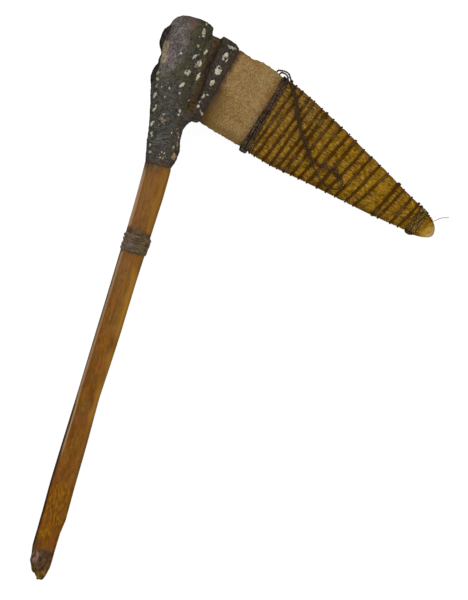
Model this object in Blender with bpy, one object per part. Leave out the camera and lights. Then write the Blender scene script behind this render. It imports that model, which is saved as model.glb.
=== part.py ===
"""Stone pick hafted in a bent stick, lying on a table.

A stick bent double clasps the butt of a long stone blade. Dark resin fills and covers the clasp and makes a
collar round the blade. Bark wound with string covers the blade's point, and a loose string lies across it.

Everything is modelled in the pick's own frame, in metres: the handle runs along Y with the head at +Y, the
blade runs to +X and leans back towards the handle, and Z is the thickness. An empty then lays the pick on
the flat spot under its head, on the handle's end and on the string near the blade's point.
"""

from math import copysign, cos, hypot, pi, radians, sin

import bmesh
import bpy
from mathutils import Matrix, Vector

GAP = 0.0003  # air between pieces that touch

# The blade has its own frame: U runs from the handle to the point, V across it, towards the head.
BLADE_LEAN = radians(18.05)

# The stick: a flat inner side, a rounded outer side, and a bend round the blade's butt.
SLIT = 0.0004
SMALL_STEP = 0.001  # for slopes, and the least distance of a ring from the stick's end
STICK_LENGTH = 0.3865  # from the blade's axis to the handle's end
SHORT_ARM_LENGTH = 0.3805
BEND_RADIUS = 0.0089
BEND_CENTRE_Y = 0.0152
BEND_STEPS = 8
BEND_NARROWING = 0.0022
ARM_STAGGER = 0.0004  # the front arm sits this far to the right, the back arm to the left
ARC_POINTS = 9
STICK_ROUNDNESS = 0.8  # the exponent of the stick's outer arch, 1 for an ellipse and less for a squarer one
SHAPED_END_Y = -0.36  # below this the short arm's end repeats the shape of the long one's
BEND_OVERLAP = 0.4  # of a step, by which the cutters of the two arms pass each other in the bend
CUTTER_STEP = 0.00003  # keeps the faces of those two cutters apart
STICK_CENTRE = ((-0.3865, 0.0034), (-0.380, 0.0010), (-0.370, 0.0003), (-0.352, 0.0000), (-0.342, 0.0006),
                (-0.330, 0.0002), (-0.300, -0.0001), (-0.250, -0.0006), (-0.200, 0.0000), (-0.180, -0.0002),
                (-0.155, 0.0002), (-0.100, 0.0003), (-0.080, -0.0002), (-0.045, -0.0048), (-0.015, -0.0113),
                (0.0, -0.0120))
STICK_WIDTH = ((-0.3865, 0.0064), (-0.3845, 0.0104), (-0.380, 0.0142), (-0.372, 0.0163), (-0.364, 0.0157),
               (-0.352, 0.0162), (-0.342, 0.0177), (-0.320, 0.0177), (-0.300, 0.0170), (-0.285, 0.0171),
               (-0.250, 0.0160), (-0.200, 0.0170), (-0.180, 0.0172), (-0.150, 0.0169), (-0.100, 0.0187),
               (-0.080, 0.0190), (-0.045, 0.0175), (0.0, 0.0165))
STICK_THICKNESS = ((-0.3865, 0.0030), (-0.380, 0.0056), (-0.370, 0.0066), (-0.330, 0.0072),
                   (-0.080, 0.0070), (-0.040, 0.0056), (0.015, 0.0052))
ARM_OPENING = ((-0.078, SLIT / 2), (-0.066, 0.0013), (-0.046, 0.0068), (-0.034, BEND_RADIUS))
ARM_STATIONS = (-0.3845, -0.3805, -0.375, -0.366, -0.352, -0.342, -0.318, -0.285, -0.250, -0.200, -0.165,
                -0.130, -0.100, -0.080, -0.070, -0.060, -0.052, -0.044, -0.036, -0.024, -0.010, 0.003,
                BEND_CENTRE_Y)

# The stone: its upper face is one smooth flake scar, its under side has two long ridges.
BUTT_U = -0.0185
STONE_TOP = ((-0.0185, 0.0130), (-0.014, 0.0170), (-0.005, 0.0206), (0.003, 0.0233), (0.010, 0.0252),
             (0.018, 0.0266), (0.028, 0.0274), (0.0355, 0.0275), (0.040, 0.0287), (0.044, 0.0298),
             (0.052, 0.0298), (0.0594, 0.0290), (0.0603, 0.0272), (0.076, 0.0260), (0.090, 0.0247),
             (0.110, 0.0216), (0.134, 0.0178), (0.158, 0.0142), (0.182, 0.0092), (0.198, 0.0055),
             (0.2055, 0.0016))
STONE_FOOT = ((-0.0185, 0.0130), (-0.014, 0.0175), (-0.005, 0.0215), (0.006, 0.0258), (0.018, 0.0298),
              (0.028, 0.0318), (0.040, 0.0313), (0.052, 0.0303), (0.0594, 0.0298), (0.0603, 0.0275),
              (0.080, 0.0264), (0.110, 0.0217), (0.134, 0.0183), (0.158, 0.0146), (0.182, 0.0104),
              (0.198, 0.0068), (0.2055, 0.0030))
STONE_FRONT, STONE_BACK = 0.0070, 0.0100  # from the level of the edges to the upper face and to the ridges
STONE_TAPER = ((-0.0185, 0.88), (0.0, 1.0), (0.060, 0.98), (0.120, 0.80), (0.170, 0.55), (0.200, 0.30),
               (0.2055, 0.14))
EDGE_LEVEL = ((0.060, 0.0015), (0.200, -0.0015))
FACE_GROWTH_AT_EDGE = 0.35  # of the growth of a face, what is left where it meets the edge
STONE_SECTION = ((1.0, 0.09), (0.80, 0.52), (0.45, 0.90), (0.0, 1.0), (-0.45, 0.93), (-0.82, 0.55),
                 (-1.0, 0.08), (-1.0, -0.06), (-0.66, -0.56), (-0.34, -1.0), (0.27, -0.93), (0.68, -0.46),
                 (1.0, -0.05))
STONE_STATIONS = (-0.0185, -0.0145, -0.008, 0.0, 0.010, 0.020, 0.028, 0.0355, 0.044, 0.052, 0.0594, 0.0603,
                  0.075, 0.090, 0.110, 0.134, 0.158, 0.175, 0.190, 0.200, 0.2055)

# The resin, along the handle: left and right edges, and its rise over the front and the back.
RESIN_LEFT = ((-0.078, -0.0103), (-0.071, -0.0115), (-0.065, -0.0130), (-0.056, -0.0143), (-0.046, -0.0165),
              (-0.036, -0.0188), (-0.026, -0.0217), (-0.016, -0.0220), (-0.004, -0.0208), (0.018, -0.0213),
              (0.024, -0.0206), (0.028, -0.0182), (0.030, -0.0148), (0.0313, -0.0100))
RESIN_RIGHT = ((-0.078, 0.0098), (-0.066, 0.0118), (-0.058, 0.0103), (-0.048, 0.0096), (-0.044, 0.0111),
               (-0.0405, 0.0141), (-0.037, 0.0150), (-0.031, 0.0110), (-0.025, 0.0094), (0.024, 0.0101),
               (0.028, 0.0097), (0.030, 0.0060), (0.0313, 0.0010))
RESIN_RISE = ((-0.078, 0.0084), (-0.066, 0.0098), (-0.050, 0.0128), (-0.036, 0.0164), (-0.020, 0.0176),
              (0.012, 0.0178), (0.022, 0.0160), (0.027, 0.0126), (0.030, 0.0085), (0.0313, 0.0046))
RESIN_STATIONS = (-0.078, -0.071, -0.065, -0.056, -0.048, -0.044, -0.0405, -0.037, -0.031, -0.025, -0.014,
                  0.0, 0.013, 0.020, 0.0245, 0.028, 0.030, 0.0313)
RESIN_SIDES = 20
LEFT_ROUNDNESS, RIGHT_ROUNDNESS = 0.60, 0.75  # the left edge keeps the stick's squarer corner
SHOULDER_X, SHOULDER_RUN, SHOULDER_DROP = -0.003, 0.012, 0.26  # the resin falls away right of the stick
SHOULDER_FOOT_Y, SHOULDER_HEAD_Y = -0.060, -0.030  # and does so more and more between these two

# The resin on the blade, from its butt to the end of the collar, in rings that may lean:
# (U at the blade's upper edge, U at its lower edge, thickness on the edges, thickness on the faces).
BLADE_RESIN = ((-0.0175, -0.0175, 0.0012, 0.0012), (-0.006, -0.006, 0.0015, 0.0017),
               (0.0030, 0.0120, 0.0015, 0.0017), (0.0082, 0.0192, 0.0014, 0.0016),
               (0.0094, 0.0212, 0.0036, 0.0034), (0.0125, 0.0232, 0.0034, 0.0046),
               (0.0175, 0.0256, 0.0027, 0.0044), (0.0212, 0.0280, 0.0023, 0.0028),
               (0.0244, 0.0302, 0.0008, 0.0009))
BUTT_ROUNDING = ((-0.0204, 0.50), (-0.0196, 0.84))  # (U, size) of the rings that round off the butt's resin
BUTT_LUMPS = (((-0.0195, 0.0105, -0.0010), (0.0060, 0.0108, 0.0090)),
              ((-0.0182, -0.0160, -0.0020), (0.0060, 0.0110, 0.0092)))
BARE_PATCH = ((-0.0208, 0.0005, 0.0128), (0.0032, 0.0062, 0.0030))  # where the resin has come off
LUMP_SEGMENTS, LUMP_RINGS = 14, 9

# The place under the head where the pick rests, at the middle of its small flat spot.
REST_SPOT = Vector((-0.0070, -0.0060, -0.0173))
END_REST_Y, POINT_REST_X = -0.30, 0.14  # past these it rests on the handle and on the string
TABLE_SIZE = (0.5, 0.5, 0.1)

# The string binding round the handle.
BINDING_FROM, BINDING_TO = -0.1435, -0.1300
BINDING_RIDGES = 4
STEPS_A_RIDGE = 4
BINDING_WALL, BINDING_RIDGE_RISE = 0.0006, 0.0008
BINDING_FIT = 0.00035
BINDING_SIDES = 16

# The bark sheath: hollow, open at its mouth, closed at the tip.
SHEATH_TOP = ((0.0605, 0.0293), (0.074, 0.0293), (0.086, 0.0284), (0.098, 0.0263), (0.122, 0.0231),
              (0.146, 0.0184), (0.160, 0.0167), (0.170, 0.0144), (0.194, 0.0101), (0.203, 0.0083),
              (0.209, 0.0060), (0.2125, 0.0035), (0.2143, 0.0010))
SHEATH_FOOT = ((0.0605, 0.0299), (0.074, 0.0293), (0.086, 0.0287), (0.098, 0.0267), (0.122, 0.0226),
               (0.146, 0.0192), (0.170, 0.0156), (0.194, 0.0110), (0.203, 0.0099), (0.209, 0.0077),
               (0.2125, 0.0058), (0.2143, 0.0042))
SHEATH_FRONT = ((0.0605, 0.0096), (0.120, 0.0082), (0.170, 0.0064), (0.203, 0.0046), (0.2125, 0.0026),
                (0.2143, 0.0012))
SHEATH_BACK = ((0.0605, 0.0126), (0.120, 0.0106), (0.170, 0.0078), (0.203, 0.0052), (0.2125, 0.0028),
               (0.2143, 0.0012))
SHEATH_WALL = 0.0015
SHEATH_SIDES = 16
SHEATH_SQUARENESS = 2.2
SHEATH_STATIONS = (0.0605, 0.074, 0.090, 0.106, 0.122, 0.138, 0.154, 0.170, 0.182, 0.194, 0.203, 0.209,
                   0.2125, 0.2143)
HOLLOW_STATIONS = (0.0605, 0.080, 0.106, 0.134, 0.158, 0.182, 0.200, 0.2085)

# The string on the sheath: where each turn crosses the upper and the lower edge, front stretch first.
STRING_DIAMETER = 0.0015
SHARPEST_MITRE = 0.45  # keeps the string from standing off at the sheath's sharp edges
TURN_PITCH = 0.0020  # where the turns lie side by side
MOUTH_TURNS = tuple((0.0612 + TURN_PITCH * turn, 0.0642 + TURN_PITCH * turn) for turn in range(4))
SINGLE_TURNS = ((0.0728, 0.0724), (0.0787, 0.0767), (0.0855, 0.0835), (0.0897, 0.0896), (0.0973, 0.0950),
                (0.1016, 0.0998), (0.1085, 0.1060), (0.1166, 0.1120), (0.1240, 0.1185), (0.1300, 0.1260),
                (0.1390, 0.1335), (0.1466, 0.1410), (0.1550, 0.1490), (0.1630, 0.1555), (0.1730, 0.1700),
                (0.1790, 0.1750), (0.1870, 0.1845), (0.1938, 0.1905))
TIP_TURNS = tuple((0.1968 + TURN_PITCH * turn, 0.1978 + TURN_PITCH * turn) for turn in range(4))

# The loose string: its two strands lie side by side over the wound turns.
# Places are (U, V) over the sheath, or (U, V, Z) round the upper edge, where the two ends are tucked in.
LOOSE_DIAMETER = 0.0013
LOOSE_LIFT = 0.0004
STRAND_SPACING = 0.0015
LOOSE_START = ((0.0588, 0.0125, -0.0075), (0.0570, 0.0160, -0.0064), (0.0562, 0.0205, -0.0048),
               (0.0557, 0.0262, -0.0028), (0.0556, 0.0308, 0.0010), (0.0573, 0.0320, 0.0056),
               (0.0603, 0.0330, 0.0094), (0.0632, 0.0329, 0.0110), (0.0664, 0.0306, 0.0118))
LOOSE_END = ((0.0660, 0.0284, 0.0114), (0.0638, 0.0308, 0.0106), (0.0612, 0.0316, 0.0082),
             (0.0594, 0.0314, 0.0048), (0.0582, 0.0308, 0.0010), (0.0582, 0.0262, -0.0030), (0.0588, 0.0205, -0.0050))
LOOSE_DIAGONAL = ((0.0700, 0.0272), (0.0750, 0.0232), (0.0800, 0.0186), (0.0850, 0.0130), (0.0900, 0.0076),
                  (0.0950, 0.0034), (0.1000, -0.0004), (0.1050, -0.0040), (0.1100, -0.0072))
LOOSE_LOOP = ((0.1150, -0.0084), (0.1210, -0.0078), (0.1270, -0.0066), (0.1330, -0.0062), (0.1372, -0.0070),
              (0.1398, -0.0098), (0.1396, -0.0134), (0.1366, -0.0164), (0.1315, -0.0175), (0.1260, -0.0163),
              (0.1200, -0.0138), (0.1150, -0.0112))
LOOSE_POINTS = 76


def at(keys, place):
    """Value at a place on a smooth curve through (place, value) keys, level past its ends."""
    if place <= keys[0][0]:
        return keys[0][1]
    if place >= keys[-1][0]:
        return keys[-1][1]
    last = len(keys) - 1
    i = max(k for k in range(last) if keys[k][0] <= place)

    def slope(k):
        before, after = keys[max(k - 1, 0)], keys[min(k + 1, last)]
        return (after[1] - before[1]) / (after[0] - before[0])

    span = keys[i + 1][0] - keys[i][0]
    t = (place - keys[i][0]) / span
    return ((2 * t**3 - 3 * t**2 + 1) * keys[i][1] + (t**3 - 2 * t**2 + t) * span * slope(i)
            + (3 * t**2 - 2 * t**3) * keys[i + 1][1] + (t**3 - t**2) * span * slope(i + 1))


def power(value, exponent):
    """A signed power, for rounded squares."""
    return copysign(abs(value) ** exponent, value)


def from_blade(u, v, z):
    """A point of the blade's frame in the pick's frame."""
    return Vector((u * cos(BLADE_LEAN) + v * sin(BLADE_LEAN), v * cos(BLADE_LEAN) - u * sin(BLADE_LEAN), z))


def material(name, colour, roughness):
    mat = bpy.data.materials.new(name)
    mat.use_nodes = True
    shader = mat.node_tree.nodes["Principled BSDF"]
    shader.inputs["Base Color"].default_value = (*colour, 1.0)
    shader.inputs["Roughness"].default_value = roughness
    shader.inputs["Metallic"].default_value = 0.0
    return mat


def add_object(name, mesh, collection, parent=None, mat=None):
    obj = bpy.data.objects.new(name, mesh)
    collection.objects.link(obj)
    obj.parent = parent
    if mat:
        mesh.materials.append(mat)
    return obj


def loft(name, rings, ring_back=False):
    """A closed mesh through rings of points: capped at both ends, or led back to its first ring."""
    bm = bmesh.new()
    loops = [[bm.verts.new(point) for point in ring] for ring in rings]
    if ring_back:
        loops.append(loops[0])
    for ring, after in zip(loops, loops[1:]):
        for k in range(len(ring)):
            j = (k + 1) % len(ring)
            bm.faces.new((ring[k], ring[j], after[j], after[k]))
    if not ring_back:
        bm.faces.new(loops[0])
        bm.faces.new(loops[-1])
    bmesh.ops.recalc_face_normals(bm, faces=bm.faces)
    mesh = bpy.data.meshes.new(name)
    bm.to_mesh(mesh)
    bm.free()
    return mesh


def cutter(name, mesh, collection, parent=None):
    obj = add_object(name, mesh, collection, parent)
    obj.hide_render = True
    obj.display_type = "WIRE"
    return obj


def boolean(obj, other, operation):
    mod = obj.modifiers.new(other.name, "BOOLEAN")
    mod.operation = operation
    mod.object = other
    mod.solver = "EXACT"


def stick_ring(x, y, inner_z, width, thickness, outward, grow):
    """A D-shaped ring of the stick: flat side inwards, arched side along outward, a vector in Y, Z."""
    ring = []
    for k in range(ARC_POINTS):
        turn = pi * k / (ARC_POINTS - 1)
        across = (width / 2 + grow) * power(cos(turn), STICK_ROUNDNESS)
        out = (thickness + 2 * grow) * power(sin(turn), STICK_ROUNDNESS) - grow
        ring.append((x + across, y + outward[0] * out, inner_z + outward[1] * out))
    return ring


def arm_rings(side, length, grow):
    """Rings of one arm, from its free end to the bend: side is +1 for the front arm, -1 for the back."""
    x_shift = side * ARM_STAGGER
    stations = [y for y in ARM_STATIONS if y > -length + SMALL_STEP]
    rings = []
    for y in [-length] + stations:
        shift = length - STICK_LENGTH if y < SHAPED_END_Y else 0.0
        opening = at(ARM_OPENING, y)
        rise = (at(ARM_OPENING, y + SMALL_STEP) - at(ARM_OPENING, y - SMALL_STEP)) / (2 * SMALL_STEP)
        outward = Vector((-rise, side)).normalized()
        x = at(STICK_CENTRE, y) + x_shift
        width, thickness = at(STICK_WIDTH, y + shift), at(STICK_THICKNESS, y + shift)
        rings.append(stick_ring(x, y, side * opening, width, thickness, outward, grow))
    return rings


def bend_ring(angle, grow):
    """A ring of the bend, at an angle from the front arm over to the back arm."""
    outward = (sin(angle), cos(angle))
    x = at(STICK_CENTRE, 0.0) + ARM_STAGGER * cos(angle)
    width = at(STICK_WIDTH, 0.0) - BEND_NARROWING * sin(angle)
    return stick_ring(x, BEND_CENTRE_Y + BEND_RADIUS * outward[0], BEND_RADIUS * outward[1], width,
                      at(STICK_THICKNESS, BEND_CENTRE_Y), outward, grow)


def stick_mesh():
    bend = [bend_ring(pi * k / BEND_STEPS, 0.0) for k in range(1, BEND_STEPS)]
    front = arm_rings(1, STICK_LENGTH, 0.0)
    back = arm_rings(-1, SHORT_ARM_LENGTH, 0.0)
    return loft("handle_wood", front + bend + back[::-1])


def arm_cutter_mesh(side):
    """One arm and its half of the bend, for the hollow in the resin. The two overlap in the bend."""
    grow = GAP if side > 0 else GAP + CUTTER_STEP
    start = 0.0 if side > 0 else pi
    turns = [k for k in range(1, BEND_STEPS // 2 + 1)] + [BEND_STEPS / 2 + BEND_OVERLAP]
    bend = [bend_ring(start + side * pi * k / BEND_STEPS, grow) for k in turns]
    return loft("arm_cutter", arm_rings(side, STICK_LENGTH, grow) + bend)


def stone_ring(u_top, u_foot, edge_grow, face_grow, size=1.0):
    """A ring on the stone's surface, grown at edges and faces. U may differ between the two edges."""
    ring = []
    for across, height in STONE_SECTION:
        u = u_foot + (u_top - u_foot) * (across + 1) / 2
        edge = at(STONE_TOP, u) if across > 0 else at(STONE_FOOT, u)
        full = STONE_FRONT if height > 0 else STONE_BACK
        growth = copysign(face_grow, height) * min(1.0, FACE_GROWTH_AT_EDGE + abs(height))
        rise = height * full * at(STONE_TAPER, u) + growth
        ring.append(from_blade(u, across * (edge + edge_grow) * size, at(EDGE_LEVEL, u) + rise * size))
    return ring


def stone_mesh(grow=0.0):
    rings = [stone_ring(u, u, grow, grow) for u in STONE_STATIONS]
    if grow:
        rings[0] = stone_ring(BUTT_U - grow, BUTT_U - grow, grow, grow)
    return loft("stone_blade", rings)


def resin_ring(y):
    """A rounded ring of the resin round the stick, lower on the blade's side than over the stick."""
    left, right, rise = at(RESIN_LEFT, y), at(RESIN_RIGHT, y), at(RESIN_RISE, y)
    ring = []
    for k in range(RESIN_SIDES):
        turn = 2 * pi * k / RESIN_SIDES
        exponent = RIGHT_ROUNDNESS if cos(turn) > 0 else LEFT_ROUNDNESS
        x = (left + right) / 2 + (right - left) / 2 * power(cos(turn), exponent)
        fall = min(1.0, max(0.0, (x - SHOULDER_X) / SHOULDER_RUN))
        along = min(1.0, max(0.0, (y - SHOULDER_FOOT_Y) / (SHOULDER_HEAD_Y - SHOULDER_FOOT_Y)))
        drop = SHOULDER_DROP * fall * along
        ring.append((x, y, rise * (1.0 - drop) * power(sin(turn), exponent)))
    return ring


def lump_mesh(name, centre, radii):
    bm = bmesh.new()
    bmesh.ops.create_uvsphere(bm, u_segments=LUMP_SEGMENTS, v_segments=LUMP_RINGS, radius=1.0)
    bmesh.ops.scale(bm, vec=radii, verts=bm.verts)
    bmesh.ops.translate(bm, vec=centre, verts=bm.verts)
    mesh = bpy.data.meshes.new(name)
    bm.to_mesh(mesh)
    bm.free()
    return mesh


def box_mesh(name, size, centre):
    bm = bmesh.new()
    bmesh.ops.create_cube(bm, size=1.0)
    bmesh.ops.scale(bm, vec=size, verts=bm.verts)
    bmesh.ops.translate(bm, vec=centre, verts=bm.verts)
    mesh = bpy.data.meshes.new(name)
    bm.to_mesh(mesh)
    bm.free()
    return mesh


def binding_ring(y, grow):
    """A ring round both arms of the handle."""
    half_width = at(STICK_WIDTH, y) / 2 + ARM_STAGGER + grow
    half_height = at(STICK_THICKNESS, y) + SLIT / 2 + grow
    ring = []
    for k in range(BINDING_SIDES):
        turn = 2 * pi * k / BINDING_SIDES
        x = at(STICK_CENTRE, y) + half_width * power(cos(turn), STICK_ROUNDNESS)
        ring.append((x, y, half_height * power(sin(turn), STICK_ROUNDNESS)))
    return ring


def binding_mesh():
    """Ridges side by side, like turns of string under dirt, hollow for the handle."""
    steps = STEPS_A_RIDGE * BINDING_RIDGES
    outer = []
    for k in range(steps + 1):
        y = BINDING_FROM + (BINDING_TO - BINDING_FROM) * k / steps
        ridge = BINDING_RIDGE_RISE * abs(sin(pi * k / STEPS_A_RIDGE))
        outer.append(binding_ring(y, BINDING_FIT + BINDING_WALL + ridge))
    inner = [binding_ring(y, BINDING_FIT) for y in (BINDING_TO, BINDING_FROM)]
    return loft("handle_binding", outer + inner, ring_back=True)


def sheath_offset(u, k, inset=0.0):
    """Across and height of corner k of the sheath's ring at U, from the line of its edges."""
    turn = 2 * pi * k / SHEATH_SIDES
    half_width = at(SHEATH_TOP, u) if cos(turn) > 0 else at(SHEATH_FOOT, u)
    half_height = at(SHEATH_FRONT, u) if sin(turn) > 0 else at(SHEATH_BACK, u)
    exponent = 2 / SHEATH_SQUARENESS
    across = (half_width - inset) * power(cos(turn), exponent)
    return across, (half_height - inset) * power(sin(turn), exponent)


def sheath_ring(u, inset=0.0):
    ring = []
    for k in range(SHEATH_SIDES):
        v, height = sheath_offset(u, k, inset)
        ring.append(from_blade(u, v, at(EDGE_LEVEL, u) + height))
    return ring


def sheath_mesh():
    outside = [sheath_ring(u) for u in SHEATH_STATIONS[::-1]]
    inside = [sheath_ring(u, SHEATH_WALL) for u in HOLLOW_STATIONS]
    return loft("bark_sheath", outside + inside)


def over_corner(u, k, clear):
    """Across and height of a point over corner k of the sheath, clear of the two flats that meet there."""
    here, before, after = (Vector(sheath_offset(u, k + step)) for step in (0, -1, 1))
    out_before = Vector(((here - before).y, -(here - before).x)).normalized()
    out_after = Vector(((after - here).y, -(after - here).x)).normalized()
    outward = (out_before + out_after).normalized()
    return here + outward * clear / max(SHARPEST_MITRE, outward.dot(out_after))


def winding_points():
    """The string's whole way round the sheath: down the front of each turn, up the back to the next."""
    turns = MOUTH_TURNS + SINGLE_TURNS + TIP_TURNS
    half = SHEATH_SIDES // 2
    clear = GAP + STRING_DIAMETER / 2
    points = []
    for turn, (top, foot) in enumerate(turns):
        after = turns[turn + 1][0] if turn + 1 < len(turns) else top + TURN_PITCH
        for k in range(SHEATH_SIDES):
            done = (1 - cos(pi * (k % half) / half)) / 2
            u = top + (foot - top) * done if k < half else foot + (after - foot) * done
            v, height = over_corner(u, k, clear)
            points.append(from_blade(u, v, at(EDGE_LEVEL, u) + height))
    return points


def tube(name, points, diameter, bevel_resolution, collection, parent, mat):
    """A round string along a poly line, with closed ends."""
    curve = bpy.data.curves.new(name, "CURVE")
    curve.dimensions = "3D"
    curve.bevel_depth = diameter / 2
    curve.bevel_resolution = bevel_resolution
    curve.use_fill_caps = True
    spline = curve.splines.new("POLY")
    spline.points.add(len(points) - 1)
    for point, place in zip(spline.points, points):
        point.co = (*place, 1.0)
    curve.materials.append(mat)
    obj = bpy.data.objects.new(name, curve)
    collection.objects.link(obj)
    obj.parent = parent
    return obj


def height_over_sheath(u, v, clear):
    """Z of a place over the sheath's front, clear of it."""
    corners = [over_corner(u, k, clear) for k in range(SHEATH_SIDES // 2 + 1)]
    for high, low in zip(corners, corners[1:]):
        if low.x <= v <= high.x:
            return at(EDGE_LEVEL, u) + low.y + (high.y - low.y) * (v - low.x) / (high.x - low.x)
    return at(EDGE_LEVEL, u)


def loose_route():
    """Points on the loose string's way: out over the edge, across the sheath, round a loop and back."""
    def on_sheath(u, v):
        return (u, v, height_over_sheath(u, v, GAP + STRING_DIAMETER + LOOSE_LIFT + LOOSE_DIAMETER / 2))

    out, back = [], []
    for (u0, v0), (u, v), (u1, v1) in zip(LOOSE_DIAGONAL[:1] + LOOSE_DIAGONAL, LOOSE_DIAGONAL,
                                          LOOSE_DIAGONAL[1:] + LOOSE_DIAGONAL[-1:]):
        along = hypot(u1 - u0, v1 - v0)
        side_u, side_v = (v0 - v1) / along * STRAND_SPACING / 2, (u1 - u0) / along * STRAND_SPACING / 2
        out.append(on_sheath(u + side_u, v + side_v))
        back.append(on_sheath(u - side_u, v - side_v))
    loop = [on_sheath(u, v) for u, v in LOOSE_LOOP]
    return list(LOOSE_START) + out + loop + back[::-1] + list(LOOSE_END)


def evenly(route, count):
    """Points evenly spaced on a smooth curve through a route's own points."""
    places = [0.0]
    for a, b in zip(route, route[1:]):
        places.append(places[-1] + (Vector(b) - Vector(a)).length)
    axes = [[(place, point[axis]) for place, point in zip(places, route)] for axis in range(3)]
    wanted = [places[-1] * k / (count - 1) for k in range(count)]
    return [tuple(at(keys, place) for keys in axes) for place in wanted]


def as_mesh(obj, collection, parent, mat):
    """The curve's tube as a mesh object in its place, its caps welded on."""
    name = obj.name
    depsgraph = bpy.context.evaluated_depsgraph_get()
    mesh = bpy.data.meshes.new_from_object(obj.evaluated_get(depsgraph))
    bm = bmesh.new()
    bm.from_mesh(mesh)
    bmesh.ops.remove_doubles(bm, verts=bm.verts, dist=0.00001)
    bm.to_mesh(mesh)
    bm.free()
    curve = obj.data
    bpy.data.objects.remove(obj)
    bpy.data.curves.remove(curve)
    mesh.materials.clear()
    return add_object(name, mesh, collection, parent, mat)


def resting_matrix(handle, winding):
    """Lays the pick on the flat under its head, on the handle's end and on the string near the point."""
    ends = [v.co - REST_SPOT for v in handle.vertices if v.co.y < END_REST_Y]
    points = [v.co - REST_SPOT for v in winding.vertices if v.co.x > POINT_REST_X]
    normal = Vector((0.0, 0.0, 1.0))
    for _ in range(10):
        a, b = min(ends, key=normal.dot), min(points, key=normal.dot)
        size = a.x * b.y - a.y * b.x
        normal = Vector(((a.y * b.z - a.z * b.y) / size, (a.z * b.x - a.x * b.z) / size, 1.0))
    up = normal.normalized()
    across = Vector((0.0, 1.0, 0.0)).cross(up).normalized()
    turn = Matrix((across, up.cross(across), up)).to_4x4()
    return turn @ Matrix.Translation(-REST_SPOT)


def build():
    for obj in list(bpy.data.objects):
        bpy.data.objects.remove(obj)
    parts = bpy.data.collections.new("hafted_pick")
    tools = bpy.data.collections.new("cutters")
    bpy.context.scene.collection.children.link(parts)
    bpy.context.scene.collection.children.link(tools)

    wood = material("handle_wood", (0.25, 0.10, 0.030), 0.5)
    stone = material("stone", (0.33, 0.24, 0.12), 0.75)
    resin = material("resin", (0.035, 0.030, 0.028), 0.55)
    bark = material("bark", (0.30, 0.17, 0.030), 0.7)
    string = material("string", (0.050, 0.030, 0.018), 0.85)
    old_string = material("binding_string", (0.055, 0.035, 0.028), 0.7)

    rest = bpy.data.objects.new("pick_rest", None)
    parts.objects.link(rest)

    handle = add_object("handle_wood", stick_mesh(), parts, rest, wood)
    add_object("stone_blade", stone_mesh(), parts, rest, stone)
    add_object("handle_binding", binding_mesh(), parts, rest, old_string)
    add_object("bark_sheath", sheath_mesh(), parts, rest, bark)
    winding = tube("sheath_binding", winding_points(), STRING_DIAMETER, 0, parts, rest, string)
    winding = as_mesh(winding, parts, rest, string)
    loose = [from_blade(*point) for point in evenly(loose_route(), LOOSE_POINTS)]
    tube("loose_string", loose, LOOSE_DIAMETER, 2, parts, rest, string)

    lump_round_stick = loft("resin_haft", [resin_ring(y) for y in RESIN_STATIONS])
    haft = add_object("resin_haft", lump_round_stick, parts, rest, resin)
    butt = [stone_ring(u, u, *BLADE_RESIN[0][2:], size) for u, size in BUTT_ROUNDING]
    sleeve = loft("blade_resin", butt + [stone_ring(*row) for row in BLADE_RESIN])
    boolean(haft, cutter("blade_resin", sleeve, tools, rest), "UNION")
    for number, (centre, radii) in enumerate(BUTT_LUMPS):
        lump = lump_mesh("butt_lump", centre, radii)
        boolean(haft, cutter(f"butt_lump_{number}", lump, tools, rest), "UNION")
    boolean(haft, cutter("stone_cutter", stone_mesh(GAP), tools, rest), "DIFFERENCE")
    boolean(haft, cutter("front_arm_cutter", arm_cutter_mesh(1), tools, rest), "DIFFERENCE")
    boolean(haft, cutter("back_arm_cutter", arm_cutter_mesh(-1), tools, rest), "DIFFERENCE")
    table = box_mesh("table", TABLE_SIZE, (0.0, 0.0, -TABLE_SIZE[2] / 2))
    boolean(haft, cutter("table", table, tools), "DIFFERENCE")
    boolean(haft, cutter("bare_patch", lump_mesh("bare_patch", *BARE_PATCH), tools, rest), "DIFFERENCE")

    rest.matrix_world = resting_matrix(handle.data, winding.data)


build()
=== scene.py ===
"""The finished looks of the hafted stone pick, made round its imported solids.

Every piece is modelled in the pick's own frame, in metres, and laid down last, as the pick lies on the
floor. In that frame the handle runs along Y with the head at +Y, and Z is the thickness. The blade has a
frame of its own in the same plane: U runs from the handle to the point, V across it, towards the head.
"""

from bisect import bisect
from math import atan2, copysign, cos, exp, hypot, pi, radians, sin, tau

import bmesh
import bpy
from mathutils import Euler, Matrix, Vector, noise
from mathutils.bvhtree import BVHTree


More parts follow.
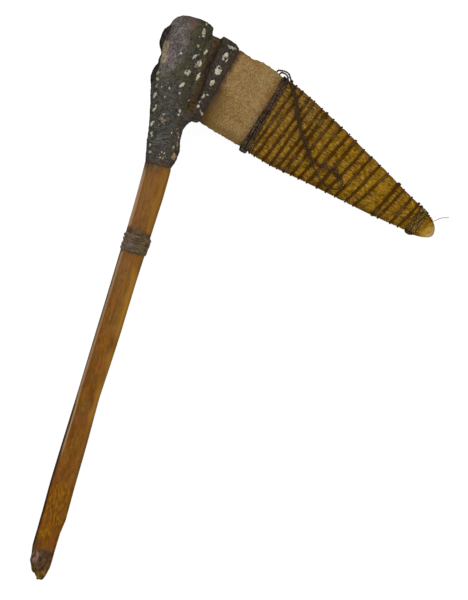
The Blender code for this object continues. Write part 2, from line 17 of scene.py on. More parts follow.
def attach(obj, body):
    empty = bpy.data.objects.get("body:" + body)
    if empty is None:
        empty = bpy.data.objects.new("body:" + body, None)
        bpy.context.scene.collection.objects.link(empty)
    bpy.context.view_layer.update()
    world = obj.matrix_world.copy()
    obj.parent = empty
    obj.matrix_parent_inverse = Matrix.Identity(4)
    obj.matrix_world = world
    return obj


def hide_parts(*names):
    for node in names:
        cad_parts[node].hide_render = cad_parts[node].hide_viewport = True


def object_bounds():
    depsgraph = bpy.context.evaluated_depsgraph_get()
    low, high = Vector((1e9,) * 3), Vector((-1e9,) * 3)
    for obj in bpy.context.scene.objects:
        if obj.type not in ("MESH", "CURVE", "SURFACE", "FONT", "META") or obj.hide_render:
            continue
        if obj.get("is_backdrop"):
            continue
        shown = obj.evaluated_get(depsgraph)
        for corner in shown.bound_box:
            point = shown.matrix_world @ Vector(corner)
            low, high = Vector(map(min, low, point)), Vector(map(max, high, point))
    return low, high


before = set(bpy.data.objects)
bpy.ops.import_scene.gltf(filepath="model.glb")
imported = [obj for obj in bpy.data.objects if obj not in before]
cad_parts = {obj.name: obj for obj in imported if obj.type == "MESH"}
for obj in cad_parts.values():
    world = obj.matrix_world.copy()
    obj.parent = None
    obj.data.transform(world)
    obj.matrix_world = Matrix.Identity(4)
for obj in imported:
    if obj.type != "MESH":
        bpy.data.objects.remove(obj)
cad_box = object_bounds()

# How the pick lies: the place under its head that it rests on, and the way up, in its own frame.
REST_SPOT = Vector((-0.0070, -0.0060, -0.0173))
UP = Vector((-0.032528, 0.028476, 0.999065)).normalized()
BLADE_LEAN = radians(18.05)
FAR = 0.2  # beyond everything, for looking at the solids from outside


# ---------------------------------------------------------------- the pick's frame

def lying():
    """The matrix that lays the pick down."""
    across = Vector((0.0, 1.0, 0.0)).cross(UP).normalized()
    turn = Matrix((across, UP.cross(across), UP)).to_4x4()
    return turn @ Matrix.Translation(-REST_SPOT)


LAY = lying()


def from_blade(u, v, z):
    return Vector((u * cos(BLADE_LEAN) + v * sin(BLADE_LEAN), v * cos(BLADE_LEAN) - u * sin(BLADE_LEAN), z))


def to_blade(place):
    x, y, z = place
    return x * cos(BLADE_LEAN) - y * sin(BLADE_LEAN), x * sin(BLADE_LEAN) + y * cos(BLADE_LEAN), z


def step(value, low, high):
    """0 at low, 1 at high and smooth between. Low may be the higher."""
    share = min(1.0, max(0.0, (value - low) / (high - low)))
    return share * share * (3 - 2 * share)


def band(value, low, high, soft):
    """1 between low and high, with a soft edge outside each."""
    return step(value, low - soft, low) * step(value, high + soft, high)


def along(keys, place):
    """Value at a place on straight lines through (place, value) keys, level past its ends."""
    if place <= keys[0][0]:
        return keys[0][1]
    for (p0, v0), (p1, v1) in zip(keys, keys[1:]):
        if place <= p1:
            return v0 + (v1 - v0) * (place - p0) / (p1 - p0)
    return keys[-1][1]


def power(value, exponent):
    return copysign(abs(value) ** exponent, value)


def rumple(place, size, seed=0.0):
    """Smooth noise from -1 to 1 with lumps of about that size."""
    return noise.noise(Vector(place) / size + Vector((seed, seed * 1.7, -seed)))


def crumple(place, size, octaves, seed=0.0):
    """The same with finer lumps on it."""
    return noise.fractal(Vector(place) / size + Vector((seed, -seed, seed * 2.3)), 1.0, 2.0, octaves)


# ---------------------------------------------------------------- shader maths

def rgb(*colour):
    """A screen colour as the shaders take it."""
    return tuple(c / 255 / 12.92 if c <= 10 else ((c / 255 + 0.055) / 1.055) ** 2.4 for c in colour)


class Value:
    """What changes over a surface. Arithmetic on it adds Math nodes."""

    def __init__(self, nodes, socket):
        self.nodes, self.socket = nodes, socket

    def math(self, operation, *values, clamp=False):
        return self.nodes.node("ShaderNodeMath", {"operation": operation, "use_clamp": clamp}, *values)

    def __add__(self, other):
        return self.math("ADD", self, other)

    def __sub__(self, other):
        return self.math("SUBTRACT", self, other)

    def __rsub__(self, other):
        return self.math("SUBTRACT", other, self)

    def __mul__(self, other):
        return self.math("MULTIPLY", self, other)

    __radd__, __rmul__ = __add__, __mul__

    def most(self, other):
        return self.math("MAXIMUM", self, other)

    def clamp(self):
        return self.math("ADD", self, 0.0, clamp=True)

    def step(self, low, high):
        """0 at low, 1 at high and smooth between."""
        return self.nodes.node("ShaderNodeMapRange", {"interpolation_type": "SMOOTHSTEP"},
                               self, low, high, 0.0, 1.0)


def set_stops(ramp, stops):
    """Gives a colour ramp its (place, shade) stops."""
    while len(ramp.elements) < len(stops):
        ramp.elements.new(0.5)
    for element, (place, shade) in zip(ramp.elements, stops):
        element.position = place
        element.color = (shade, shade, shade, 1.0)


class Nodes:
    """The nodes of a material or of the room's light, all made by one method."""

    def __init__(self, owner):
        owner.use_nodes = True
        self.tree = owner.node_tree

    def node(self, kind, settings, *values, output=0, **named):
        """A node with its settings and the values or links of its sockets, by order or by name."""
        made = self.tree.nodes.new(kind)
        for key, setting in settings.items():
            if key == "stops":
                set_stops(made.color_ramp, setting)
            else:
                setattr(made, key, setting)
        self.fill(made, *values, **named)
        return Value(self, made.outputs[output])

    def fill(self, node, *values, **named):
        """Links or sets a node's sockets, by order or by name. None leaves one as it is."""
        sockets = list(zip(node.inputs, values))
        sockets += [(node.inputs[key.replace("_", " ")], value) for key, value in named.items()]
        for socket, value in sockets:
            if isinstance(value, Value):
                self.tree.links.new(value.socket, socket)
            elif value is not None:
                socket.default_value = (*value[:3], 1.0) if socket.type == "RGBA" else value


class Finish(Nodes):
    """A material in the making, with short methods for the nodes used most."""

    def __init__(self, name):
        self.material = bpy.data.materials.new(name)
        super().__init__(self.material)
        coordinates = self.node("ShaderNodeTexCoord", {}, output="Object")
        self.pick = self.node("ShaderNodeMapping", {"vector_type": "TEXTURE"}, coordinates,
                              LAY.translation, LAY.to_euler())

    def place(self, turn=0.0, stretch=(1.0, 1.0, 1.0), shift=(0.0, 0.0, 0.0)):
        """Places on the pick, turned about Z and stretched along the turned axes."""
        return self.node("ShaderNodeMapping", {"vector_type": "TEXTURE"}, self.pick,
                         shift, (0.0, 0.0, -turn), stretch)

    def noise(self, place, size, detail=3.0, roughness=0.55):
        return self.node("ShaderNodeTexNoise", {}, Vector=place, Scale=1.0 / size, Detail=detail,
                         Roughness=roughness)

    def mask(self, name):
        """A share that the mesh itself carries, from 0 to 1."""
        return self.node("ShaderNodeAttribute", {"attribute_name": name}, output="Fac")

    def mix(self, share, under, over):
        """One colour over another. The node's sockets in between are for numbers and for vectors."""
        return self.node("ShaderNodeMix", {"data_type": "RGBA"}, share, *[None] * 5, under, over, output=2)

    def layers(self, colour, *coats):
        """A colour with others over it, each given with its share."""
        for share, coat in coats:
            colour = self.mix(share, colour, coat)
        return colour

    def bump(self, height, depth, strength):
        return self.node("ShaderNodeBump", {}, Height=height, Distance=depth, Strength=strength,
                         output="Normal")

    def done(self, colour, roughness, normal=None, **fixed):
        """The finished material."""
        shader = self.tree.nodes["Principled BSDF"]
        self.fill(shader, Base_Color=colour, Roughness=roughness, Normal=normal, **fixed)
        return self.material


# ---------------------------------------------------------------- making meshes

def solid(node):
    """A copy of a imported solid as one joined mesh, in the pick's own frame."""
    bm = bmesh.new()
    bm.from_mesh(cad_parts[node].data)
    bm.transform(LAY.inverted())
    bmesh.ops.remove_doubles(bm, verts=bm.verts, dist=0.000002)
    return bm


def surface(node):
    """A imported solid's surface, to look up."""
    bm = solid(node)
    tree = BVHTree.FromBMesh(bm)
    bm.free()
    return tree


def skin(rows, sides, corner):
    """A closed round skin. corner(row, side) gives each corner's place, row by row from end to end."""
    bm = bmesh.new()
    bmesh.ops.create_grid(bm, x_segments=sides, y_segments=rows - 1, size=1.0)
    for vert in bm.verts:
        side = round((vert.co.x + 1) / 2 * sides) % sides
        row = round((vert.co.y + 1) / 2 * (rows - 1))
        vert.co = corner(row, side)
    bmesh.ops.remove_doubles(bm, verts=bm.verts, dist=0.0000005)
    bmesh.ops.holes_fill(bm, edges=[edge for edge in bm.edges if edge.is_boundary])
    bmesh.ops.recalc_face_normals(bm, faces=bm.faces)
    return bm


def from_shape(shape):
    """The mesh of an object, with its modifiers or its curve's bevel. The object is taken away."""
    bpy.context.scene.collection.objects.link(shape)
    depsgraph = bpy.context.evaluated_depsgraph_get()
    mesh = bpy.data.meshes.new_from_object(shape.evaluated_get(depsgraph))
    bpy.data.objects.remove(shape)
    bm = bmesh.new()
    bm.from_mesh(mesh)
    return bm


def voxels(bm, size, smoothing):
    """The same shape with an even mesh of small faces, its edges worn by the smoothing."""
    mesh = bpy.data.meshes.new("voxels")
    bm.to_mesh(mesh)
    bm.free()
    shape = bpy.data.objects.new("voxels", mesh)
    remesh = shape.modifiers.new("voxels", "REMESH")
    remesh.mode, remesh.voxel_size = "VOXEL", size
    fine = from_shape(shape)
    for _ in range(smoothing):
        bmesh.ops.smooth_vert(fine, verts=fine.verts, factor=0.5,
                              use_axis_x=True, use_axis_y=True, use_axis_z=True)
    fine.normal_update()
    return fine


def mark(bm, *masks):
    """Stores each mask's share at every corner of the mesh, under the mask's own name."""
    for mask in masks:
        layer = bm.verts.layers.float.new(mask.__name__)
        for vert in bm.verts:
            vert[layer] = mask(vert.co, vert.normal)


def relief(bm, height):
    """Moves every corner along its normal, by height(place, normal)."""
    moves = [vert.normal * height(vert.co, vert.normal) for vert in bm.verts]
    for vert, move in zip(bm.verts, moves):
        vert.co += move
    bm.normal_update()


def join(bm, *others):
    """Moves other meshes into the first."""
    for other in others:
        mesh = bpy.data.meshes.new("joined")
        other.to_mesh(mesh)
        other.free()
        bm.from_mesh(mesh)


def piece(name, bm, material, slot, *nodes, past=0.0):
    """The finished piece, laid down with the pick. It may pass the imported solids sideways, by so much."""
    bm.transform(LAY)
    for vert in bm.verts:
        limits = zip(vert.co, *cad_box, (past, past, 0.0))
        vert.co = [min(max(c, low - more), high + more) for c, low, high, more in limits]
    mesh = bpy.data.meshes.new(name)
    bm.to_mesh(mesh)
    bm.free()
    mesh.shade_smooth()
    mesh.materials.append(material)
    made = bpy.data.objects.new(name, mesh)
    bpy.context.scene.collection.objects.link(made)
    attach(made, "root")
    if nodes:
        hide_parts(*nodes)
    return made


# ---------------------------------------------------------------- string, twisted from two plies

STRING_DIAMETER = 0.0015
PLY_SHARE, PLY_OFFSET = 0.29, 0.18  # of the string's diameter
TWIST_STEPS = 9  # points on each twist
TURN_POINTS = 120  # on each turn of a string round something


def lengths(line):
    """How far along a line each of its points is."""
    places = [0.0]
    for a, b in zip(line, line[1:]):
        places.append(places[-1] + (b - a).length)
    return places


def evenly(line, spacing):
    """The same line with its points at even spacing."""
    places = lengths(line)
    count = max(2, round(places[-1] / spacing))
    even = []
    k = 0
    for number in range(count + 1):
        place = places[-1] * number / count
        while k < len(line) - 2 and places[k + 1] < place:
            k += 1
        even.append(line[k].lerp(line[k + 1], (place - places[k]) / (places[k + 1] - places[k])))
    return even


def smooth_line(route, count):
    """Points on a smooth curve through a route's own points."""
    places = lengths(route)
    last = len(route) - 1

    def slope(j):
        before, after = max(j - 1, 0), min(j + 1, last)
        return (route[after] - route[before]) / (places[after] - places[before])

    line = []
    for k in range(count):
        place = places[-1] * k / (count - 1)
        i = min(max(bisect(places, place) - 1, 0), last - 1)
        span = places[i + 1] - places[i]
        t = (place - places[i]) / span
        line.append(route[i] * (2 * t**3 - 3 * t**2 + 1) + slope(i) * span * (t**3 - 2 * t**2 + t)
                    + route[i + 1] * (3 * t**2 - 2 * t**3) + slope(i + 1) * span * (t**3 - t**2))
    return line


def two_ply(lines, diameter, twist, unevenness, fullness=1.0):
    """String of two plies twisted together along each line, as a bmesh."""
    curve = bpy.data.curves.new("plies", "CURVE")
    curve.dimensions = "3D"
    curve.bevel_depth = diameter * PLY_SHARE * fullness
    curve.bevel_resolution = 1
    curve.use_fill_caps = True
    for line in lines:
        line = evenly(line, twist / TWIST_STEPS)
        strands = [[], []]
        length = 0.0
        across = Vector((0.3, 0.2, 1.0))  # any way across, to start with
        for k, point in enumerate(line):
            before, after = line[max(k - 1, 0)], line[min(k + 1, len(line) - 1)]
            tangent = (after - before).normalized()
            across = (across - tangent * across.dot(tangent)).normalized()
            length += (point - before).length if k else 0.0
            turn = tau * length / twist
            side = across * cos(turn) + tangent.cross(across) * sin(turn)
            swell = 1 + unevenness * (rumple(point, 0.004, 7.0) + 1.4 * rumple(point, 0.018, 3.0))
            strands[0].append((point + side * diameter * PLY_OFFSET, swell))
            strands[1].append((point - side * diameter * PLY_OFFSET, swell))
        for strand in strands:
            spline = curve.splines.new("POLY")
            spline.points.add(len(strand) - 1)
            for spot, (point, swell) in zip(spline.points, strand):
                spot.co = (*point, 1.0)
                spot.radius = swell
    bm = from_shape(bpy.data.objects.new("plies", curve))
    bmesh.ops.remove_doubles(bm, verts=bm.verts, dist=0.000005)
    return bm


def string_finish(name, dark, light, pale, **ends):
    """String in darker and lighter stretches, in other shades where the mesh has a mask of that name."""
    string = Finish(name)
    stretches = string.noise(string.place(), 0.011, 2.0)
    strands = string.noise(string.place(shift=(0.1, 0.0, 0.0)), 0.0016, 2.0, 0.6)
    fibres = string.noise(string.place(), 0.0006, 3.0, 0.7)
    coats = [(stretches.step(0.50, 0.66), light),
             (strands.step(0.56, 0.70) * 0.35, rgb(92, 68, 70)),
             (fibres.step(0.56, 0.80) * 0.5, pale)]
    for mask, (low, high, specks) in ends.items():
        end = string.layers(low, ((stretches * 0.4 + strands * 0.6).step(0.40, 0.60), high),
                            (fibres.step(0.56, 0.74) * 0.6, specks))
        coats.append((string.mask(mask), end))
    colour = string.layers(dark, *coats)
    return string.done(colour, 0.9, string.bump(fibres, 0.0003, 0.6), Specular_IOR_Level=0.05)


# ---------------------------------------------------------------- the bark sheath

# U of every turn of the string round the sheath, at its upper and at its lower edge.
MOUTH_TURNS = ((0.0620, 0.0650), (0.0631, 0.0666), (0.0642, 0.0682), (0.0654, 0.0699))
SINGLE_TURNS = ((0.0728, 0.0724), (0.0787, 0.0767), (0.0855, 0.0835), (0.0897, 0.0896), (0.0973, 0.0950),
                (0.1016, 0.0998), (0.1085, 0.1060), (0.1166, 0.1120), (0.1240, 0.1185), (0.1300, 0.1260),
                (0.1390, 0.1335), (0.1466, 0.1410), (0.1550, 0.1490), (0.1630, 0.1555), (0.1730, 0.1700),
                (0.1790, 0.1750), (0.1870, 0.1845), (0.1938, 0.1905))
TIP_TURNS = ((0.1966, 0.1966), (0.1985, 0.1983), (0.2004, 0.2000), (0.2024, 0.2016))
TURNS = MOUTH_TURNS + SINGLE_TURNS + TIP_TURNS
TURN_PITCH = 0.0020  # of the very last turn
EDGE_LEVEL = ((0.060, 0.0015), (0.200, -0.0015))  # U, and Z of the sheath's two edges
MOUTH_TOP, MOUTH_FOOT, TIP = 0.0617, 0.0642, 0.2150
REACH_FROM, REACH_STEP = 0.0606, 0.0015
BARK_WALL = 0.0012
BARK_SIDES = 168
BARK_ROWS = 320
ROW_SPREAD = 0.012
CLOSE_ROWS_FROM, CLOSE_ROWS_POWER, CLOSE_ROWS_REACH = 0.96, 1.3, 2.4  # closer together at the point
INNER_ROWS = 12
INNER_LENGTH = 0.140
BARK_SQUARENESS = 2.2
PINCH_DEPTH, EDGE_PINCH, PINCH_WIDTH = 0.00040, 0.00045, 0.0010
# how far the painted shade beside each turn of the string reaches
STRING_SHADE_WIDTH = 0.0011


def sheath_reach():
    """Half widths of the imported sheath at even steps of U: upper edge, front, lower edge, back."""
    tree = surface("bark_sheath")
    table = []
    for k in range(int((TIP - REACH_FROM) / REACH_STEP) + 1):
        u = REACH_FROM + REACH_STEP * k
        level = along(EDGE_LEVEL, u)
        row = []
        for v, z in ((1, 0), (0, 1), (-1, 0), (0, -1)):
            start = from_blade(u, v * FAR, level + z * FAR)
            hit = tree.ray_cast(start, from_blade(u, 0.0, level) - start)
            row.append(FAR - hit[3])
        table.append(row)
    return table


REACH = sheath_reach()
LAST_REACH = REACH_FROM + REACH_STEP * (len(REACH) - 1)
END_REACH, END_DROP = 0.0001, 0.0016  # half widths at the very end, and how far it lies below the middle


def end_share(u):
    """0 up to the last of the table, 1 at the very end."""
    return min(max((u - LAST_REACH) / (TIP - LAST_REACH), 0.0), 1.0)


def sheath_widths(u):
    """Half widths at U, rounded off past the last of the table."""
    place = max((u - REACH_FROM) / REACH_STEP, 0.0)
    k = int(place)
    if k >= len(REACH) - 1:
        return [a * (1 - end_share(u)) ** 0.6 + END_REACH for a in REACH[-1]]
    return [a + (b - a) * (place - k) for a, b in zip(REACH[k], REACH[k + 1])]


def on_sheath(u, turn, lift=0.0):
    """A point over the sheath's skin: turn runs from its upper edge over its front."""
    upper, front, lower, back = sheath_widths(u)
    across = upper if cos(turn) > 0 else lower
    deep = front if sin(turn) > 0 else back
    exponent = 2 / BARK_SQUARENESS
    v, z = across * power(cos(turn), exponent), deep * power(sin(turn), exponent)
    out = Vector((v / across**2, z / deep**2)).normalized()
    v -= END_DROP * end_share(u)
    return from_blade(u, v + out.x * lift, along(EDGE_LEVEL, u) + z + out.y * lift)


def turn_place(number, turn):
    """U of a turn of the string at an angle round the sheath."""
    top, foot = TURNS[number]
    after = TURNS[number + 1][0] if number + 1 < len(TURNS) else top + TURN_PITCH
    waver = 0.00034 * rumple((number * 3.1, cos(turn) * 2.6, sin(turn) * 2.6), 1.0)
    if turn < pi:
        return top + (foot - top) * (1 - cos(turn)) / 2 + waver
    return foot + (after - foot) * (1 - cos(turn - pi)) / 2 + waver


def mouth_place(turn):
    """U of the sheath's mouth at an angle round it."""
    return MOUTH_TOP + (MOUTH_FOOT - MOUTH_TOP) * (1 - cos(turn)) / 2


def bark():
    """The sheath's outer and inner skin, drawn in a little by every turn of the string."""
    places = [[turn_place(number, tau * side / BARK_SIDES) for number in range(len(TURNS))]
              for side in range(BARK_SIDES)]

    def from_string(u, side):
        """Distance from the nearest turn of the string."""
        here = places[side]
        k = bisect(here, u)
        return min(abs(u - here[j]) for j in (k - 1, k) if 0 <= j < len(here))

    def station(row, side):
        """U of a corner. The rows run from deep inside, out at the mouth and over to the point."""
        mouth = mouth_place(tau * side / BARK_SIDES)
        if row < INNER_ROWS:
            return mouth + INNER_LENGTH * (1 - row / INNER_ROWS) ** 1.5
        share = (row - INNER_ROWS) / (BARK_ROWS - 1)
        if share < CLOSE_ROWS_FROM:
            share += ROW_SPREAD * sin(pi * share)
        else:
            share = 1.0 - (1.0 - share) ** CLOSE_ROWS_POWER * CLOSE_ROWS_REACH
        return mouth + (TIP - mouth) * share

    def corner(row, side):
        turn = tau * side / BARK_SIDES
        u = station(row, side)
        if row < INNER_ROWS:
            return on_sheath(u, turn, -BARK_WALL)
        around = on_sheath(u, turn)
        fibres = rumple((u / 5, around.y, around.z), 0.0008) * 0.00006
        plates = crumple((u / 2, cos(turn) * 0.02, sin(turn) * 0.02), 0.0024, 3, 4.0) * 0.00014
        wrinkles = rumple((u / 2, around.y, around.z), 0.0050, 9.0) * 0.00022
        deep = PINCH_DEPTH + EDGE_PINCH * step(abs(cos(turn)), 0.80, 0.97)
        pinch = deep * exp(-(from_string(u, side) / PINCH_WIDTH) ** 2)
        return on_sheath(u, turn, 0.00018 - pinch + fibres + plates + wrinkles)

    bm = skin(INNER_ROWS + BARK_ROWS, BARK_SIDES, corner)

    def across_share(u, v):
        """V as a share of the sheath's half width."""
        upper, front, lower, back = sheath_widths(u)
        return v / (upper if v > 0 else lower)

    def grime(place, normal):
        """How near the string is, for the painted shade that the turns cast on the bark."""
        u, v, z = to_blade(place)
        upper, front, lower, back = sheath_widths(u)
        level, exponent = along(EDGE_LEVEL, u), BARK_SQUARENESS / 2
        across, deep = across_share(u, v), (z - level) / (front if z > level else back)
        out = Vector((power(across, exponent), power(deep, exponent)))
        turn = out.angle_signed(Vector((1.0, 0.0)), 0.0)
        side = round(turn % tau / tau * BARK_SIDES) % BARK_SIDES
        return exp(-(from_string(u, side) / STRING_SHADE_WIDTH) ** 2)

    def edge(place, normal):
        """Along the sheath's two edges."""
        u, v, z = to_blade(place)
        return step(abs(across_share(u, v)), 0.80, 1.0)

    mark(bm, grime, edge, point, behind_point, worn_point, far, near)
    return piece("bark", bm, bark_finish(), "bark", "bark_sheath")


def point(place, normal):
    """The bare point, past the last turns of the string."""
    return step(to_blade(place)[0], 0.2025, 0.2055)


def behind_point(place, normal):
    """Darker gold next to the last turns, at the lower side."""
    u, v, z = to_blade(place)
    return step(u - 0.08 * v + 0.0008 * rumple(place, 0.002), 0.2092, 0.2056)


def worn_point(place, normal):
    """Pale bark at the very point, palest in one spot below its middle."""
    u, v, z = to_blade(place)
    spot = step(hypot((u - 0.2132) / 0.0030, (v + 0.0058) / 0.0040), 1.25, 0.5)
    return max(spot, 0.6 * step(u + 0.0008 * rumple(place, 0.002), 0.2100, 0.2135))


def far(place, normal):
    """The half nearer the point."""
    return step(to_blade(place)[0], 0.120, 0.145)


def near(place, normal):
    """The bark is duller and more worn near the mouth, most at its upper edge."""
    u, v, z = to_blade(place)
    return step(u, 0.125, 0.085) * (0.5 + 0.5 * step(v, 0.008, 0.022))


def bark_finish():
    bark = Finish("fibrous_golden_bark")
    fibres = bark.noise(bark.place(BLADE_LEAN, (4.0, 1.0, 1.0)), 0.0008, 3.0, 0.6)
    strands = bark.noise(bark.place(BLADE_LEAN, (3.0, 1.0, 1.0), (0.05, 0.0, 0.0)), 0.0017, 2.0, 0.5)
    patches = bark.noise(bark.place(BLADE_LEAN, (1.0, 1.6, 1.0)), 0.0048, 2.0, 0.5)
    smudges = bark.noise(bark.place(BLADE_LEAN, (1.0, 2.0, 1.0), (0.0, 0.0, 0.2)), 0.0036, 3.0, 0.6)
    hue = bark.noise(bark.place(shift=(0.0, 0.3, 0.0)), 0.0034, 2.0, 0.5)
    broad = bark.noise(bark.place(shift=(0.1, 0.0, 0.0)), 0.0200, 2.0, 0.5)
    worn = bark.mix(strands.step(0.40, 0.62), rgb(84, 60, 26), rgb(134, 106, 62))
    bare_point = bark.layers(
        rgb(148, 106, 8),
        (patches.step(0.40, 0.60), rgb(182, 140, 44)),
        (hue.step(0.50, 0.62) * 0.5, rgb(156, 104, 8)),
        (bark.mask("edge") * 0.2, rgb(120, 88, 20)),
        (bark.mask("behind_point") * 0.80, rgb(100, 68, 0)),
        ((bark.mask("worn_point") + (fibres - 0.5) * 0.8).clamp() * 0.85, rgb(206, 178, 124)),
        (fibres.step(0.50, 0.64) * 0.25, rgb(196, 162, 84)))
    colour = bark.layers(
        rgb(106, 72, 2),
        (patches.step(0.38, 0.62), rgb(150, 109, 8)),
        (hue.step(0.50, 0.64) * 0.6, rgb(104, 90, 8)),
        (hue.step(0.48, 0.34) * 0.6, rgb(146, 90, 8)),
        (broad.step(0.48, 0.62) * bark.mask("far") * 0.4, rgb(158, 118, 14)),
        (strands.step(0.46, 0.35) * 0.60, rgb(74, 44, 0)),
        (fibres.step(0.47, 0.36) * 0.60, rgb(76, 48, 0)),
        (bark.mask("near") * 0.55, worn),
        (smudges.step(0.53, 0.64) * 0.5, rgb(92, 60, 26)),
        (fibres.step(0.52, 0.64) * 0.55, rgb(186, 152, 76)),
        (bark.mask("edge") * 0.30, rgb(76, 50, 8)),
        # painted shade: the bark darker beside each turn of the string
        ((bark.mask("grime") + hue * 0.3 - 0.15).clamp() * 0.6, rgb(66, 42, 3)),
        (bark.mask("point"), bare_point))
    height = fibres * 0.5 + strands * 0.5
    return bark.done(colour, 0.8, bark.bump(height, 0.0007, 0.8), Specular_IOR_Level=0.05)


WINDING_LIFT, PILED_LIFT, EDGE_LIFT = 0.00045, 0.0005, 0.00012
WINDING_POINTS = 150  # on each turn
WINDING_TWIST = 0.0052


def winding():
    """The string from the mouth to the point."""
    line = []
    for number in range(len(TURNS)):
        for k in range(WINDING_POINTS):
            turn = tau * k / WINDING_POINTS
            piled = PILED_LIFT * (number % 2) * step(turn, 0.0, 0.5) if number < len(MOUTH_TURNS) else 0.0
            at_edge = step(abs(cos(turn)), 0.80, 0.97)
            proud = EDGE_LIFT + 0.00035 * rumple((number * 2.3, turn, 0.0), 1.0, 4.0)
            lift = WINDING_LIFT + (proud - WINDING_LIFT) * at_edge
            line.append(on_sheath(turn_place(number, turn), turn, lift + piled))
    return two_ply([line], STRING_DIAMETER, WINDING_TWIST, 0.22)


# The turns that lie over the first ones at the mouth and at the point: U at the upper and the lower edge.
OVER_TURNS = (((0.0622, 0.0668), (0.0652, 0.0654), (0.0628, 0.0690), (0.0640, 0.0664)),
              ((0.1960, 0.2018), (0.2012, 0.1968), (0.1972, 0.2022), (0.2022, 0.1978), (0.1984, 0.1990)))
OVER_DIAMETER, OVER_TWIST = 0.0012, 0.0044
OVER_LIFT, OVER_EDGE_LIFT, OVER_WAVER = 0.0012, 0.0005, 0.0011
# Second turns beside single ones, half over them.
DOUBLED = (((0.1025, 0.1008), (0.1025, 0.1008)), ((0.1741, 0.1711), (0.1741, 0.1711)),
           ((0.1309, 0.1268), (0.1309, 0.1268)))
DOUBLED_LIFT = 0.0008
# Thin fibres over the upper edge, past the last turns.
EDGE_FIBRES = (0.2040, 0.2056, 0.2072, 0.2088)
FIBRE_DIAMETER, FIBRE_TWIST, FIBRE_STEPS = 0.0009, 0.0030, 30


def over_turns(groups, lift):
    """Lines of turns over the first ones, one line for each group."""
    lines = []
    for group in groups:
        line = []
        for number, (top, foot) in enumerate(group[:-1]):
            after = group[number + 1][0]
            for k in range(TURN_POINTS):
                turn = tau * k / TURN_POINTS
                share = (1 - cos(turn)) / 2
                u = top + (foot - top) * share if turn < pi else after + (foot - after) * share
                u += OVER_WAVER * rumple((k / 8, number * 5.0, 7.0), 1.0) * lift / OVER_LIFT
                at_edge = step(abs(cos(turn)), 0.75, 0.97)
                here = lift + (min(OVER_EDGE_LIFT, lift) - lift) * at_edge
                line.append(on_sheath(u, turn, here + 0.0005 * rumple((k / 9, number * 5.0, 0.0), 1.0)))
        lines.append(line)
    return lines


BEAD_SIZE = (0.00085, 0.00065, 0.0012)  # half its size along U, V and Z


def edge_beads(bm):
    """Where a turn bends over an edge of the sheath it is thicker."""
    way = from_blade(1.0, 0.0, 0.0)
    lean = Matrix.Rotation(atan2(way.y, way.x), 4, "Z")
    for number, turns in enumerate(SINGLE_TURNS):
        for u, turn in zip(turns, (0.0, pi)):
            swell = 1 + 0.3 * rumple((number * 1.7, turn, 0.0), 1.0, 6.0)
            shape = Matrix.Diagonal((*(size * swell for size in BEAD_SIZE), 1.0))
            place = Matrix.Translation(on_sheath(u, turn, 0.00012 * swell))
            bmesh.ops.create_icosphere(bm, subdivisions=2, radius=1.0, matrix=place @ lean @ shape)


# Knots and bunches of the same string: U, the angle round the sheath, the width and the depth of the tangle
# there, and its loops.
TANGLES = ((0.0672, 3.02, 0.0034, 0.0013, 9), (0.0680, 0.05, 0.0015, 0.0010, 5),
           (0.1990, 3.02, 0.0034, 0.0008, 9), (0.1742, 0.10, 0.0014, 0.0007, 4),
           (0.1936, 0.08, 0.0010, 0.0007, 3), (0.1968, 0.06, 0.0010, 0.0006, 3),
           (0.1994, 0.06, 0.0009, 0.0005, 3), (0.2026, 0.05, 0.0008, 0.0004, 3),
           (0.2066, 0.04, 0.0007, 0.0003, 2))
LOOP_POINTS = 26


def tangle(u, turn, width, depth, loops):
    """A small untidy bunch of loops on the sheath's skin."""
    centre = on_sheath(u, turn, depth)
    out = (on_sheath(u, turn, 0.002) - on_sheath(u, turn)).normalized()
    way = (on_sheath(u + 0.001, turn) - on_sheath(u, turn)).normalized()
    side = out.cross(way)
    line = []
    steps = LOOP_POINTS * loops
    for k in range(steps):
        round_turn = tau * k / LOOP_POINTS
        tilt = 0.9 * k / steps * pi
        spread = 0.55 + 0.45 * abs(rumple((k / 17, u * 900, 0.0), 1.0))
        rise = cos(round_turn) * sin(tilt) * depth * 0.6 + depth * 0.25 * rumple((k / 11, 3.0, u), 1.0)
        line.append(centre + way * (cos(round_turn) * cos(tilt) * width * spread)
                    + side * (sin(round_turn) * width * 0.75 * spread) + out * rise)
    return line


